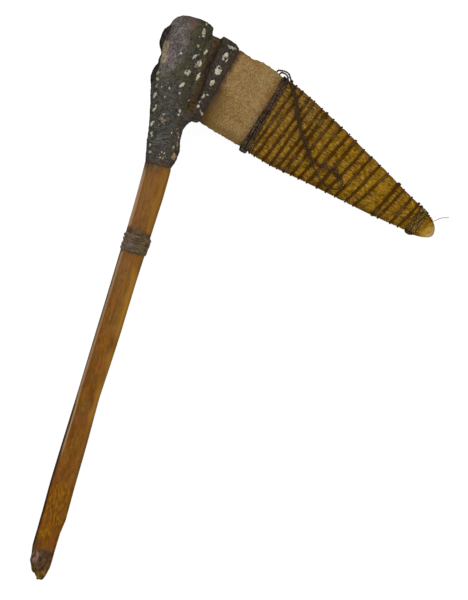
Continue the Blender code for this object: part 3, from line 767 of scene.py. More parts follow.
def sheath_string():
    """All the string that is wound round the sheath."""
    material = string_finish("sheath_string", rgb(80, 49, 2), rgb(104, 78, 44), rgb(138, 114, 76),
                             mouth=(rgb(58, 43, 33), rgb(96, 78, 62), rgb(126, 108, 90)),
                             foot=(rgb(56, 44, 32), rgb(100, 86, 68), rgb(168, 156, 134)),
                             tip=(rgb(84, 60, 20), rgb(144, 116, 66), rgb(176, 152, 108)),
                             crevice=(rgb(24, 15, 8), rgb(46, 32, 20), rgb(70, 52, 36)))
    bm = winding()
    fibres = [[on_sheath(u - 0.0012 * k / FIBRE_STEPS, -0.9 + 1.6 * k / FIBRE_STEPS, 0.0004)
               for k in range(FIBRE_STEPS + 1)] for u in EDGE_FIBRES]
    tangles = [tangle(*place) for place in TANGLES]
    join(bm, two_ply(over_turns(OVER_TURNS, OVER_LIFT) + tangles, OVER_DIAMETER, OVER_TWIST, 0.2),
         two_ply(over_turns(DOUBLED, DOUBLED_LIFT), OVER_DIAMETER, OVER_TWIST, 0.2, 1.2),
         two_ply(fibres, FIBRE_DIAMETER, FIBRE_TWIST, 0.2))
    edge_beads(bm)

    def mouth(place, normal):
        """The turns at the mouth."""
        return step(to_blade(place)[0], 0.0730, 0.0712)

    def foot(place, normal):
        """The fuzzy bunch at the lower end of the mouth."""
        return mouth(place, normal) * step(to_blade(place)[1], -0.010, -0.020)

    def tip(place, normal):
        """The last turns, close together."""
        u, v, z = to_blade(place)
        return band(u, 0.1972, 0.2026, 0.0010) * step(v, -0.0098, -0.0080)

    def crevice(place, normal):
        """The sides of the strings that lie close together, which are in shadow."""
        close = max(mouth(place, normal), 0.5 * band(to_blade(place)[0], 0.1965, 0.2026, 0.0010))
        return close * step(abs(normal.z), 0.70, 0.30) * step(abs(normal.z), 0.0, 0.1)

    mark(bm, mouth, foot, tip, crevice)
    piece("wound_string", bm, material, "string", "sheath_binding")
    return material


# ---------------------------------------------------------------- the loose string

GAP = 0.0003  # left between the solids
LOOSE_DIAMETER, LOOSE_TWIST, LOOSE_FULLNESS = 0.0013, 0.0050, 1.32
LOOSE_LIFT = 0.0004
STRAND_SPACING = 0.0015
# The loose string's way, from its one end to the other: (U, V, Z) at its two ends, and elsewhere (U, V)
# over the sheath.
LOOSE_START = ((0.0588, 0.0125, -0.0075), (0.0570, 0.0160, -0.0064), (0.0562, 0.0205, -0.0048),
               (0.0557, 0.0262, -0.0028), (0.0556, 0.0308, 0.0010), (0.0573, 0.0320, 0.0056),
               (0.0603, 0.0330, 0.0094), (0.0632, 0.0329, 0.0110), (0.0664, 0.0306, 0.0118))
LOOSE_END = ((0.0660, 0.0284, 0.0114), (0.0638, 0.0308, 0.0106), (0.0612, 0.0316, 0.0082),
             (0.0594, 0.0314, 0.0048), (0.0582, 0.0308, 0.0010), (0.0582, 0.0262, -0.0030),
             (0.0588, 0.0205, -0.0050))
LOOSE_DIAGONAL = ((0.0700, 0.0272), (0.0750, 0.0232), (0.0800, 0.0186), (0.0850, 0.0130), (0.0900, 0.0076),
                  (0.0950, 0.0034), (0.1000, -0.0004), (0.1050, -0.0040), (0.1100, -0.0072))
LOOSE_LOOP = ((0.1150, -0.0084), (0.1210, -0.0078), (0.1270, -0.0066), (0.1330, -0.0062), (0.1372, -0.0070),
              (0.1398, -0.0098), (0.1396, -0.0134), (0.1366, -0.0164), (0.1315, -0.0175), (0.1260, -0.0163),
              (0.1200, -0.0138), (0.1150, -0.0112))
LOOSE_STEPS = 420
# The short end that comes out of the small knot on the loop, over the sheath, and the knot itself.
KNOT = (0.1340, -0.0070)
KNOT_REACH = (0.0012, 0.0012, 0.0010)
KNOT_POINTS, KNOT_LOOP_POINTS = 90, 22
KNOT_DIAMETER, KNOT_TWIST = 0.0012, 0.0046
TAIL_LIFT, TAIL_STEPS = 0.0004, 60
SHORT_END = ((0.1334, -0.0062), (0.1312, -0.0036), (0.1282, -0.0038), (0.1250, -0.0046), (0.1222, -0.0056),
             (0.1196, -0.0068), (0.1166, -0.0083))


def height_over_sheath(tree, u, v, clear):
    """Z of a string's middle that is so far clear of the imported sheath's sloping front."""
    place, normal = tree.ray_cast(from_blade(u, v, FAR), Vector((0.0, 0.0, -1.0)))[:2]
    return place.z + clear / normal.z


def loose_route(over):
    """Points on the loose string's way: out over the edge, across the sheath, round a loop and back."""
    out, back = [], []
    for (u0, v0), (u, v), (u1, v1) in zip(LOOSE_DIAGONAL[:1] + LOOSE_DIAGONAL, LOOSE_DIAGONAL,
                                          LOOSE_DIAGONAL[1:] + LOOSE_DIAGONAL[-1:]):
        length = hypot(u1 - u0, v1 - v0)
        side_u, side_v = (v0 - v1) / length * STRAND_SPACING / 2, (u1 - u0) / length * STRAND_SPACING / 2
        out.append(over(u + side_u, v + side_v))
        back.append(over(u - side_u, v - side_v))
    loop = [over(u, v) for u, v in LOOSE_LOOP]
    ends = [[from_blade(*place) for place in route] for route in (LOOSE_START, LOOSE_END)]
    return ends[0] + out + loop + back[::-1] + ends[1]


def loose_string():
    tree = surface("bark_sheath")

    def over(u, v, more=0.0):
        clear = GAP + STRING_DIAMETER + LOOSE_LIFT + LOOSE_DIAMETER / 2 + more
        return from_blade(u, v, height_over_sheath(tree, u, v, clear))

    material = string_finish("loose_string", rgb(64, 47, 31), rgb(88, 69, 54), rgb(118, 100, 82))
    line = smooth_line(loose_route(over), LOOSE_STEPS)
    string = two_ply([line], LOOSE_DIAMETER, LOOSE_TWIST, 0.05, LOOSE_FULLNESS)
    cord = piece("loose_cord", string, material, "string", "loose_string")
    centre = over(*KNOT)
    knot = []
    for k in range(KNOT_POINTS):
        turn = tau * k / KNOT_LOOP_POINTS
        ways = (sin(turn * 0.51), cos(turn), sin(turn))
        knot.append(centre + from_blade(*(reach * way for reach, way in zip(KNOT_REACH, ways))))
    tail = smooth_line([over(u, v, TAIL_LIFT) for u, v in SHORT_END], TAIL_STEPS)
    strands = two_ply([knot, tail], KNOT_DIAMETER, KNOT_TWIST, 0.1, 1.1)
    tied = piece("loose_knot", strands, material, "string")
    path = [LAY @ point for point in line]
    length = lengths(path)[-1]
    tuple(path[0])


# A single fibre that stands off the point.
HAIR = ((0.2068, 0.0044, 0.0010), (0.2092, 0.0060, 0.0022), (0.2110, 0.0088, 0.0030),
        (0.2127, 0.0114, 0.0034), (0.2148, 0.0130, 0.0036), (0.2170, 0.0146, 0.0036))
HAIR_DIAMETER, HAIR_TWIST, HAIR_STEPS = 0.0005, 0.0030, 40
HAIR_PAST = 0.0068  # how far it reaches past the solids


def hair(material):
    line = smooth_line([from_blade(*place) for place in HAIR], HAIR_STEPS)
    strands = two_ply([line], HAIR_DIAMETER, HAIR_TWIST, 0.3)
    piece("stray_fibre", strands, material, "string", past=HAIR_PAST)


# ---------------------------------------------------------------- the stone blade

RESIN_EDGE = ((-0.038, 0.0200), (-0.015, 0.0240), (0.0, 0.0260), (0.0185, 0.0310))  # (Y, X) of its end
STONE_VOXEL = 0.00068
SCAR_SIZE, SCAR_DEPTH = 0.0055, 0.00050
CHIP_SIZE, CHIP_DEPTH = 0.0024, 0.00028
UPPER_MORE, LOWER_MORE = 0.0016, 0.0022  # how much wider the blade is kept at the sheath's mouth
# Rusty spots: X, Y, size and how rusty.
RUST = ((0.0605, -0.0072, 0.0030, 1.0), (0.0632, 0.0030, 0.0018, 0.8), (0.0570, -0.0120, 0.0018, 0.7),
        (0.0400, 0.0150, 0.0040, 0.5), (0.0470, 0.0125, 0.0024, 0.5))


def past_resin(place):
    """Distance from the resin's end, towards the point."""
    return place.x - along(RESIN_EDGE, place.y)


def scars(place, size, seed):
    """1 in the middle of a flake scar, 0 on the ridges between scars."""
    distances = noise.voronoi(Vector(place) / size + Vector((seed, 0.0, 0.0)))[0]
    return step(distances[1] - distances[0], 0.0, 0.55)


def flaked(place, normal):
    """Height of the flake scars, deepest at the blade's thin edges."""
    edge = rim(place, normal, 0.93, 0.55)
    broad = -SCAR_DEPTH * scars(place, SCAR_SIZE, 0.0) * (0.25 + 0.75 * edge)
    chips = -CHIP_DEPTH * scars(place, CHIP_SIZE, 5.0) * edge
    return broad + chips + crumple(place, 0.0030, 3) * 0.00006 + 0.00012 + 0.00020 * edge


def rim(place, normal, low=0.92, high=0.6):
    """The thin edges of the blade, which don't face the front or the back."""
    return step(abs(normal.z), low, high)


def smear(place, normal):
    """The resin's dark smear on the stone, fainter at the back and low down."""
    ragged = 0.0016 * rumple(place, 0.004) + 0.0010 * rumple(place, 0.0015, 5.0)
    left = (1.0 if normal.z > 0 else 0.6) * (1 - 0.35 * step(place.y, -0.016, -0.026))
    return step(past_resin(place) + ragged, 0.0064, 0.0006) * left


def darkened(place, normal):
    """The browner stone below the smear and along the lower edge."""
    low = step(place.y, -0.006, -0.022) * step(past_resin(place), 0.018, 0.002)
    return max(low, 0.5 * step(to_blade(place)[1], -0.021, -0.027))


def lighter(place, normal):
    """Lighter stone next to the sheath."""
    return step(place.x + 0.003 * rumple(place, 0.009), 0.042, 0.056)


def rusty(place, normal):
    return max(much * step(hypot(place.x - x, place.y - y), size * 1.3, size * 0.4)
               for x, y, size, much in RUST)


def stone():
    bm = voxels(solid("stone_blade"), STONE_VOXEL, 3)
    for vert in bm.verts:
        u, v, z = to_blade(vert.co)
        if v > 0:
            v += UPPER_MORE * step(u, 0.0590, 0.0606) * step(u, 0.0626, 0.0612) * step(v, 0.015, 0.026)
        else:
            v -= LOWER_MORE * step(u, 0.0590, 0.0606) * step(u, 0.0660, 0.0636) * step(v, -0.013, -0.024)
        vert.co = from_blade(u, v, z)
    bm.normal_update()
    mark(bm, smear, darkened, lighter, rusty, rim)
    relief(bm, flaked)
    return piece("blade", bm, stone_finish(), "stone", "stone_blade")


def stone_finish():
    stone = Finish("fine_grained_tan_stone")
    grains = stone.noise(stone.place(), 0.0008, 3.0, 0.7)
    specks = stone.noise(stone.place(shift=(0.2, 0.0, 0.0)), 0.0015, 2.0, 0.6)
    scratches = stone.noise(stone.place(stretch=(1.0, 6.0, 1.0), shift=(0.0, 0.0, 0.3)), 0.0009, 2.0, 0.6)
    blotches = stone.noise(stone.place(shift=(0.0, 0.0, 0.5)), 0.0032)
    patches = stone.noise(stone.place(), 0.012)
    tint = stone.noise(stone.place(shift=(0.0, 0.4, 0.0)), 0.007, 2.0)
    smeared = stone.mix(tint.step(0.46, 0.56), rgb(54, 42, 26), rgb(66, 52, 48))
    colour = stone.layers(
        rgb(130, 101, 54),
        (patches.step(0.36, 0.64), rgb(147, 119, 74)),
        (blotches.step(0.52, 0.66) * 0.4, rgb(158, 131, 86)),
        (blotches.step(0.48, 0.34) * 0.4, rgb(116, 86, 42)),
        (stone.mask("lighter") * 0.40, rgb(168, 138, 92)),
        (tint.step(0.50, 0.66) * 0.5, rgb(142, 106, 68)),
        (specks.step(0.52, 0.64) * 0.5, rgb(106, 78, 34)),
        (scratches.step(0.52, 0.64) * 0.35, rgb(164, 138, 96)),
        (grains.step(0.52, 0.62) * 0.75, rgb(182, 154, 106)),
        (grains.step(0.48, 0.38) * 0.75, rgb(96, 69, 30)),
        (stone.mask("rim") * 0.35, rgb(134, 98, 44)),
        (stone.mask("darkened") * 0.80, rgb(92, 68, 26)),
        ((stone.mask("rusty") + specks * 1.2 - 0.6).clamp() * 0.65, rgb(142, 90, 22)),
        ((stone.mask("smear") + grains * 0.6 - 0.30).clamp() * 0.9, smeared))
    height = grains * 0.6 + specks * 0.4
    return stone.done(colour, 0.85, stone.bump(height, 0.0007, 0.8), Specular_IOR_Level=0.10)


# ---------------------------------------------------------------- the resin head and its paint

RESIN_VOXEL = 0.00056
HOLLOW_NEAR = 0.0005
# The middle of the groove between the head and the collar: (Y, X).
GROOVE = ((-0.033, 0.0120), (-0.018, 0.0138), (-0.008, 0.0136), (0.0, 0.0134), (0.008, 0.0148),
          (0.020, 0.0172))
# The left and the right edge of the smooth strip over the bend: (Y, X).
STRIP_LEFT = ((-0.0235, -0.0230), (-0.0205, -0.0212), (-0.012, -0.0205), (-0.006, -0.0208),
              (0.006, -0.0226), (0.012, -0.0222), (0.018, -0.0206), (0.026, -0.0212))
STRIP_RIGHT = ((-0.020, -0.0120), (-0.008, -0.0085), (-0.002, -0.0055), (0.007, -0.0040), (0.020, -0.0052),
               (0.032, -0.0030))
TAN_WIDTH = ((-0.010, 0.0034), (-0.002, 0.0056), (0.006, 0.0054), (0.014, 0.0030))  # (Y, width)
PURPLE_MIDDLE = ((-0.005, -0.0135), (0.007, -0.0167), (0.014, -0.0172))  # (Y, X)
FOOT_RISE = 0.30  # the resin's foot rises by so much to the right
WOUND_LEAN = 0.29  # the string marks above it lean by so much
# Dabs of white paint: X, Y, width, length, lean to the right in degrees, and how much of it is left.
DABS = ((0.0034, 0.0230, 0.0026, 0.0048, 0, 1.0), (0.0042, 0.0195, 0.0015, 0.0015, 0, 0.9),
        (0.0019, 0.0184, 0.0015, 0.0018, 0, 0.6), (0.0037, 0.0290, 0.0015, 0.0020, 0, 0.8),
        (0.0026, 0.0120, 0.0020, 0.0022, 20, 0.75), (0.0049, 0.0100, 0.0015, 0.0018, 0, 0.55),
        (0.0089, 0.0095, 0.0018, 0.0044, 17, 0.85), (0.0024, 0.0040, 0.0021, 0.0046, 25, 0.8),
        (0.0067, -0.0002, 0.0034, 0.0064, 25, 1.0), (0.0010, -0.0085, 0.0044, 0.0048, 30, 0.8),
        (0.0086, -0.0089, 0.0021, 0.0055, 15, 0.85), (-0.0004, -0.0180, 0.0025, 0.0038, 35, 0.9),
        (-0.0004, -0.0242, 0.0019, 0.0018, 0, 0.8), (0.0074, -0.0270, 0.0019, 0.0019, 0, 0.6),
        (0.0034, -0.0362, 0.0019, 0.0030, 10, 0.7), (0.0033, -0.0391, 0.0020, 0.0018, 0, 0.6),
        (-0.0077, 0.0032, 0.0016, 0.0017, 0, 0.9), (0.0262, 0.0180, 0.0066, 0.0030, 0, 0.55),
        (0.0232, 0.0103, 0.0032, 0.0054, 15, 0.95), (0.0252, 0.0085, 0.0015, 0.0040, 20, 0.7),
        (0.0212, -0.0008, 0.0052, 0.0060, 10, 1.0), (0.0199, -0.0103, 0.0032, 0.0044, 5, 1.0),
        (0.0164, -0.0213, 0.0020, 0.0030, 15, 0.9), (0.0189, -0.0195, 0.0020, 0.0014, 0, 0.7),
        (0.0149, -0.0261, 0.0015, 0.0016, 0, 0.55), (0.0151, -0.0291, 0.0023, 0.0023, 0, 1.0),
        (0.0177, -0.0321, 0.0011, 0.0026, -35, 0.8), (0.0195, -0.0338, 0.0023, 0.0022, 0, 0.95),
        (-0.0172, -0.0306, 0.0020, 0.0048, 10, 0.95), (-0.0141, -0.0374, 0.0016, 0.0017, 0, 0.7),
        (-0.0146, -0.0402, 0.0017, 0.0038, 30, 0.9), (-0.0132, -0.0501, 0.0020, 0.0042, 15, 0.75),
        (-0.0117, -0.0570, 0.0017, 0.0026, 0, 0.8), (-0.0107, -0.0593, 0.0015, 0.0020, 0, 0.6),
        (-0.0103, -0.0657, 0.0022, 0.0030, 0, 0.5), (-0.0085, -0.0703, 0.0020, 0.0026, 0, 0.6),
        (-0.0099, -0.0301, 0.0013, 0.0013, 0, 0.7), (-0.0070, -0.0420, 0.0018, 0.0018, 0, 0.5),
        (0.0075, -0.0534, 0.0010, 0.0050, -20, 0.55), (0.0066, -0.0623, 0.0013, 0.0030, 0, 0.55),
        (-0.0200, -0.0150, 0.0030, 0.0040, 0, 0.5), (-0.0185, -0.0190, 0.0020, 0.0022, 0, 0.6),
        (-0.0180, -0.0240, 0.0018, 0.0040, 0, 0.55), (-0.0140, -0.0235, 0.0014, 0.0014, 0, 0.55),
        (-0.0086, -0.0230, 0.0014, 0.0020, 0, 0.5), (-0.0080, -0.0500, 0.0016, 0.0016, 0, 0.45),
        (0.0022, -0.0530, 0.0016, 0.0020, 0, 0.5))
# A ring of small dabs: its middle, its radius, and each dab's width, length, lean and how much is left.
RING_CENTRE, RING_SIZE, RING_DABS = (0.0005, -0.0702), 0.0021, 6
RING_DAB = (0.0014, 0.0015, 0, 0.58)
# Ochre patches, and where the paint is worn through inside the large dabs, given as the dabs are.
OCHRE_DABS = ((0.0087, -0.0688, 0.0030, 0.0048, 10, 1.2), (-0.0064, -0.0459, 0.0066, 0.0060, 0, 0.50),
              (0.0044, 0.0060, 0.0016, 0.0030, 20, 0.5), (0.0086, -0.0600, 0.0018, 0.0080, -12, 0.6),
              (0.0058, -0.0500, 0.0022, 0.0060, -12, 0.45), (-0.0118, -0.0720, 0.0016, 0.0060, 15, 0.6))
WORN_DABS = ((0.0216, 0.0010, 0.0020, 0.0016, 0, 1.0), (0.0236, 0.0092, 0.0014, 0.0024, 0, 1.0),
             (0.0060, -0.0020, 0.0012, 0.0014, 0, 0.9), (0.0002, -0.0078, 0.0012, 0.0016, 0, 0.9),
             (0.0196, -0.0112, 0.0010, 0.0014, 0, 0.7))


def dab(place, x, y, width, length, lean, left):
    """Share of paint at a place, from 0 off the dab to what is left of it in its middle."""
    turn = radians(lean)
    dx, dy = place.x - x, place.y - y
    if abs(dx) + abs(dy) > length + width:
        return 0.0
    across, down = dx * cos(turn) - dy * sin(turn), dx * sin(turn) + dy * cos(turn)
    ragged = 0.45 * rumple(place, 0.0012, 3.0) + 0.30 * rumple(place, 0.0026, 9.0)
    return left * step(hypot(across / width, down / length) * 2 + ragged, 1.35, 0.60)


def paint(place, normal):
    """The white paint."""
    if normal.z <= 0:  # the back has much the same dabs, a little shifted
        place = Vector((place.x * 0.93 + 0.0015, place.y - 0.0030, 0.0))
    share = max(dab(place, *row) for row in DABS)
    for k in range(RING_DABS):
        turn = tau * k / RING_DABS
        x, y = RING_CENTRE[0] + RING_SIZE * cos(turn), RING_CENTRE[1] + RING_SIZE * sin(turn)
        share = max(share, dab(place, x, y, *RING_DAB))
    return share * (1 - max(dab(place, *row) for row in WORN_DABS))


def ochre(place, normal):
    """Cream and ochre dirt, on the front."""
    return max(dab(place, *row) for row in OCHRE_DABS) * step(normal.z, 0.0, 0.3)


def strip(place, normal):
    """The smooth strip over the bend of the stick, greyer than the rest."""
    ragged = 0.0015 * rumple(place, 0.005)
    left, right = from_strip(place), place.x - along(STRIP_RIGHT, place.y) + ragged
    inside = step(left, -0.0004, 0.0006) * step(right, 0.0040, -0.0034)
    return inside * step(place.y + ragged, -0.022, -0.010) * step(normal.z, -0.2, 0.2)


def from_strip(place):
    """Distance from the smooth strip's left edge, to the right."""
    return place.x - along(STRIP_LEFT, place.y)


def tan_patch(place, normal):
    """Bare tan fibres at the strip's left edge."""
    ragged = 0.0012 * rumple(place, 0.004, 2.0)
    past = from_strip(place) + ragged - along(TAN_WIDTH, place.y)
    patch = step(past, 0.0010, -0.0012) * band(place.y + ragged, -0.0045, 0.0060, 0.005)
    return patch * step(from_strip(place), -0.0003, 0.0006) * step(normal.z, -0.3, 0.1)


def purple(place, normal):
    """A purplish streak down the strip."""
    across = place.x - along(PURPLE_MIDDLE, place.y)
    return band(across, -0.0006, 0.0006, 0.0014) * band(place.y, -0.005, 0.011, 0.004)


def shaded(place, normal):
    """Painted shade on the strip: dark at its left edge over the tan patch, and darker towards its right."""
    edge = step(from_strip(place), 0.0038, 0.0008) * band(place.y, 0.0095, 0.0200, 0.002)
    return max(edge, 0.45 * step(place.x, -0.0115, -0.0030) * step(place.y, 0.016, 0.008))


def lumps(place, normal):
    """The lumps behind the strip, which lie lower and are painted dark as shade."""
    past = from_strip(place) - 0.0006 * rumple(place, 0.003, 1.0)
    return step(past, 0.0008, -0.0006) * step(place.y, -0.0245, -0.0215)


def groove_distance(place):
    """Distance from the middle of the groove, to the right."""
    return place.x - along(GROOVE, place.y)


def valley(place, normal):
    """The brown hollow between the head and the collar."""
    d = groove_distance(place) + 0.0008 * rumple(place, 0.005, 3.0)
    return step(d, -0.0068, -0.0035) * step(d, 0.0028, 0.0008) * band(place.y, -0.033, 0.025, 0.005)


def groove(place, normal):
    """The narrow groove itself, cut in and painted dark as shade."""
    d = groove_distance(place) + 0.0006 * rumple(place, 0.004, 3.0)
    return exp(-(d / 0.0016) ** 2) * band(place.y, -0.024, 0.020, 0.006)


def collar(place, normal):
    """The resin on the stone, past the groove."""
    return step(groove_distance(place), 0.0006, 0.0030) * step(place.y, -0.040, -0.030)


def thin(place, normal):
    """Where the resin runs out on the stone."""
    return step(past_resin(place) + 0.0010 * rumple(place, 0.004), -0.0045, -0.0005)


def low_grey(place, normal):
    """The greyer resin down the handle."""
    return step(place.y + 0.004 * rumple(place, 0.010), -0.010, -0.024)


def olive(place, normal):
    """The right side of the lower part is more olive."""
    return step(place.x + 0.002 * rumple(place, 0.006), -0.0010, 0.0040) * step(place.y, -0.072, -0.060)


def resin_foot(place, normal):
    """The browner last stretch of the resin."""
    return step(place.y + 0.003 * rumple(place, 0.006), -0.056, -0.072)


def foot_level(place):
    """Height up the handle, along lines that rise as the resin's foot does."""
    return place.y - FOOT_RISE * place.x


def wound(place, normal):
    """Marks of a string round the lower part."""
    level = foot_level(place) + 0.0010 * rumple(place, 0.006)
    return band(level, -0.0612, -0.0558, 0.0014) * step(place.x, 0.0040, 0.0010) * step(normal.z, -0.2, 0.2)


def runs_out(place, normal):
    """The last of the resin on the handle, brown where it is thin."""
    return step(foot_level(place) + 0.0018 * rumple(place, 0.003), -0.0748, -0.0790)


def red(place, normal):
    """A reddish spot near the top of the head."""
    return step(hypot((place.x + 0.0052) / 0.0034, (place.y - 0.0262) / 0.0044), 1.25, 0.5)


def outer_resin():
    """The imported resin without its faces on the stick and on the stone, closed and filled."""
    bm = solid("resin_haft")
    inside = [surface("handle_wood"), surface("stone_blade")]
    hollow = []
    for face in bm.faces:
        spots = [vert.co for vert in face.verts] + [face.calc_center_median()]
        if any(all(tree.find_nearest(spot, HOLLOW_NEAR)[0] for spot in spots) for tree in inside):
            hollow.append(face)
    bmesh.ops.delete(bm, geom=hollow, context="FACES")
    bmesh.ops.holes_fill(bm, edges=[edge for edge in bm.edges if edge.is_boundary])
    bmesh.ops.triangulate(bm, faces=bm.faces)
    return voxels(bm, RESIN_VOXEL, 6)


def lumpy(place, normal):
    """Height of the resin's surface: lumps and wrinkles, a striped strip, paint, groove and cracks."""
    flat = strip(place, normal)
    rough = crumple(place, 0.0065, 2) * 0.00034 + crumple(place, 0.0024, 3, 2.0) * 0.00026
    rough += 0.00014 * (scars(place, 0.0018, 8.0) - 0.5)
    wrinkles = rumple((place.x / 4, place.y, place.z / 4), 0.0016, 6.0) * 0.00016
    rough += wrinkles * band(place.y, -0.068, -0.040, 0.008)
    striped = rumple((place.x, place.y / 7, place.z), 0.0012, 4.0) * 0.00010
    striped += crumple((place.x, place.y / 2.5, place.z), 0.0030, 2, 6.0) * 0.00016
    height = rough * (1 - 0.75 * flat) + striped * flat
    height += 0.00022 * step(paint(place, normal), 0.30, 0.60)
    height -= 0.00110 * groove(place, normal)
    crack = abs(from_strip(place) + 0.0004)
    cracked = band(place.y, -0.022, 0.018, 0.003) * (1 - band(place.y, -0.0055, -0.0045, 0.002))
    height -= 0.0009 * exp(-(crack / 0.0008) ** 2) * cracked * step(normal.z, -0.2, 0.3)
    height -= 0.00025 * thin(place, normal) + 0.00050 * runs_out(place, normal)
    return height - 0.00012


def resin():
    bm = outer_resin()
    mark(bm, paint, ochre, strip, tan_patch, purple, shaded, lumps, valley, groove, collar, thin, low_grey,
         olive, resin_foot, wound, runs_out, red)
    relief(bm, lumpy)
    return piece("head", bm, resin_finish(), "resin", "resin_haft")


def resin_finish():
    resin = Finish("dark_resin_with_paint")
    here = resin.place()
    broad = resin.noise(here, 0.009)
    mottle = resin.noise(here, 0.0026, 4.0, 0.7)
    fine = resin.noise(here, 0.0009, 3.0, 0.7)
    ribs = resin.noise(resin.place(stretch=(1.0, 2.2, 1.0)), 0.0009, 2.0, 0.6)
    wrinkles = resin.noise(resin.place(stretch=(4.0, 1.0, 4.0)), 0.0011, 2.0, 0.6)
    turns = resin.noise(resin.place(-WOUND_LEAN, (6.0, 1.0, 6.0)), 0.0008, 2.0, 0.5)
    tint = resin.noise(resin.place(shift=(0.3, 0.0, 0.0)), 0.006, 2.0)

    grey = resin.layers(
        rgb(26, 26, 20),
        (mottle.step(0.32, 0.68), rgb(82, 81, 72)),
        (tint.step(0.50, 0.64) * 0.5, rgb(60, 46, 30)),
        (resin.mask("olive") * broad.step(0.40, 0.60) * 0.7, rgb(60, 58, 28)),
        (resin.mask("olive") * tint.step(0.50, 0.40) * 0.5, rgb(80, 56, 42)),
        (tint.step(0.47, 0.36) * 0.3, rgb(66, 56, 74)),
        (resin.mask("resin_foot") * 0.5, rgb(62, 50, 42)),
        (wrinkles.step(0.54, 0.66) * 0.35, rgb(110, 106, 98)),
        (turns.step(0.51, 0.58) * resin.mask("wound") * 0.6, rgb(108, 106, 94)),
        (turns.step(0.49, 0.42) * resin.mask("wound") * 0.7, rgb(24, 22, 16)))
    on_collar = resin.layers(
        rgb(26, 18, 7),
        (mottle.step(0.32, 0.68), rgb(66, 57, 48)),
        (tint.step(0.50, 0.62) * 0.4, rgb(66, 50, 60)),
        (broad.step(0.47, 0.38) * 0.4, rgb(56, 46, 22)))
    on_strip = resin.layers(
        rgb(84, 77, 70),
        (broad.step(0.40, 0.60), rgb(112, 104, 102)),
        (mottle.step(0.45, 0.33) * 0.5, rgb(64, 54, 44)),
        (ribs.step(0.50, 0.39) * 0.70, rgb(50, 40, 32)),
        (ribs.step(0.54, 0.65) * 0.60, rgb(150, 139, 134)),
        (resin.mask("purple") * 0.55, rgb(114, 94, 106)),
        # painted shade on the strip
        (resin.mask("shaded") * 0.75, rgb(50, 38, 30)),
        (fine.step(0.48, 0.38) * 0.60, rgb(42, 33, 26)),
        (fine.step(0.54, 0.64) * 0.45, rgb(136, 126, 122)))
    tan = resin.mix(mottle.step(0.34, 0.66), rgb(106, 90, 66), rgb(170, 155, 127))
    # painted shade: near black for the lumps behind the strip
    behind = resin.mix(mottle.step(0.38, 0.62), rgb(12, 7, 2), rgb(42, 34, 25))
    in_valley = resin.layers(
        rgb(42, 29, 8),
        (mottle.step(0.36, 0.64), rgb(84, 65, 37)),
        (ribs.step(0.54, 0.66) * 0.4, rgb(108, 80, 50)))
    cream = resin.mix(fine.step(0.44, 0.58), rgb(146, 116, 76), rgb(206, 182, 140))
    white = resin.layers(
        rgb(216, 208, 184),
        (tint.step(0.42, 0.62), rgb(186, 180, 148)),
        (fine.step(0.56, 0.42) * 0.7, rgb(124, 112, 86)))
    bare_wood = resin.mix(mottle.step(0.40, 0.60), rgb(78, 54, 28), rgb(118, 82, 42))

    plain = (1 - resin.mask("strip")) * (1 - resin.mask("valley") * 0.8)
    # painted glints: light flecks over the plain resin, which is also less rough there
    flecks = fine.step(0.54, 0.66) * plain
    patchy = (resin.mask("ochre") + (fine - 0.5) * 2.2 + (mottle - 0.5) * 1.2).step(0.40, 0.90)
    painted = (resin.mask("paint") + (fine - 0.5) * 1.3 + (mottle - 0.5) * 0.8).step(0.30, 0.58)
    ends = resin.mask("runs_out")
    ends = (ends * 1.4 + (mottle - 0.5) * 2.4 * ends.step(0.0, 0.3) - 0.2).clamp()
    colour = resin.layers(
        rgb(30, 27, 14),
        (mottle.step(0.32, 0.68), rgb(82, 78, 60)),
        (tint.step(0.46, 0.60) * 0.55, rgb(60, 46, 20)),
        (broad.step(0.50, 0.62) * 0.5, rgb(74, 76, 40)),
        (broad.step(0.48, 0.38) * 0.6, rgb(58, 60, 60)),
        (resin.mask("low_grey"), grey),
        (resin.mask("collar"), on_collar),
        ((resin.mask("strip") + mottle * 0.6 - 0.3).clamp() * resin.mask("strip"), on_strip),
        ((resin.mask("tan_patch") * 1.2 + mottle * 0.9 - 0.6).clamp(), tan),
        (resin.mask("lumps"), behind),
        (resin.mask("valley"), in_valley),
        # painted shade in the groove
        ((resin.mask("groove") * 1.2).clamp() * 0.85, rgb(28, 15, 3)),
        ((resin.mask("red") + fine * 0.6 - 0.3).clamp() * 0.7, rgb(104, 78, 66)),
        ((resin.mask("thin") + mottle * 0.4 - 0.2).clamp() * 0.75, rgb(66, 52, 38)),
        (fine.step(0.47, 0.36) * plain * 0.45, rgb(20, 17, 10)),
        (flecks * 0.40, rgb(126, 122, 108)),
        (patchy * 0.70, cream),
        (painted * 0.95, white),
        (ends * 0.85, bare_wood))

    roughness = 0.62 - flecks * 0.3 + painted * 0.2
    height = mottle * 0.6 + fine * 0.4 + painted * 0.2
    return resin.done(colour, roughness.clamp(), resin.bump(height, 0.0012, 0.9), Specular_IOR_Level=0.20)


# ---------------------------------------------------------------- the stick

ARM_SIDES = 80
ARM_ROWS = 250
FRONT_FOOT, BACK_FOOT = -0.3864, -0.3800
BEND_CENTRE_Y = 0.0152
BEND_ROWS = 14
RAGGED_FROM = -0.3765
# The broken foot's outline seen from the front: (X, Y).
FOOT_OUTLINE = ((-0.0064, -0.3765), (-0.0054, -0.3785), (-0.0046, -0.3806), (-0.0040, -0.3822),
                (-0.0032, -0.3842), (-0.0006, -0.3846), (0.0004, -0.3862), (0.0014, -0.3876),
                (0.0030, -0.3884), (0.0048, -0.3880), (0.0068, -0.3862), (0.0077, -0.3828),
                (0.0082, -0.3790), (0.0088, -0.3765))
END_ROWS = 6
UNDER_RESIN = 0.0010  # how far the stick keeps inside the resin's skin
WORN_BACK = 0.0007  # the front arm's left edge, from the rear arm's
STICK_PAST = 0.0022  # how far the stick reaches past the solids


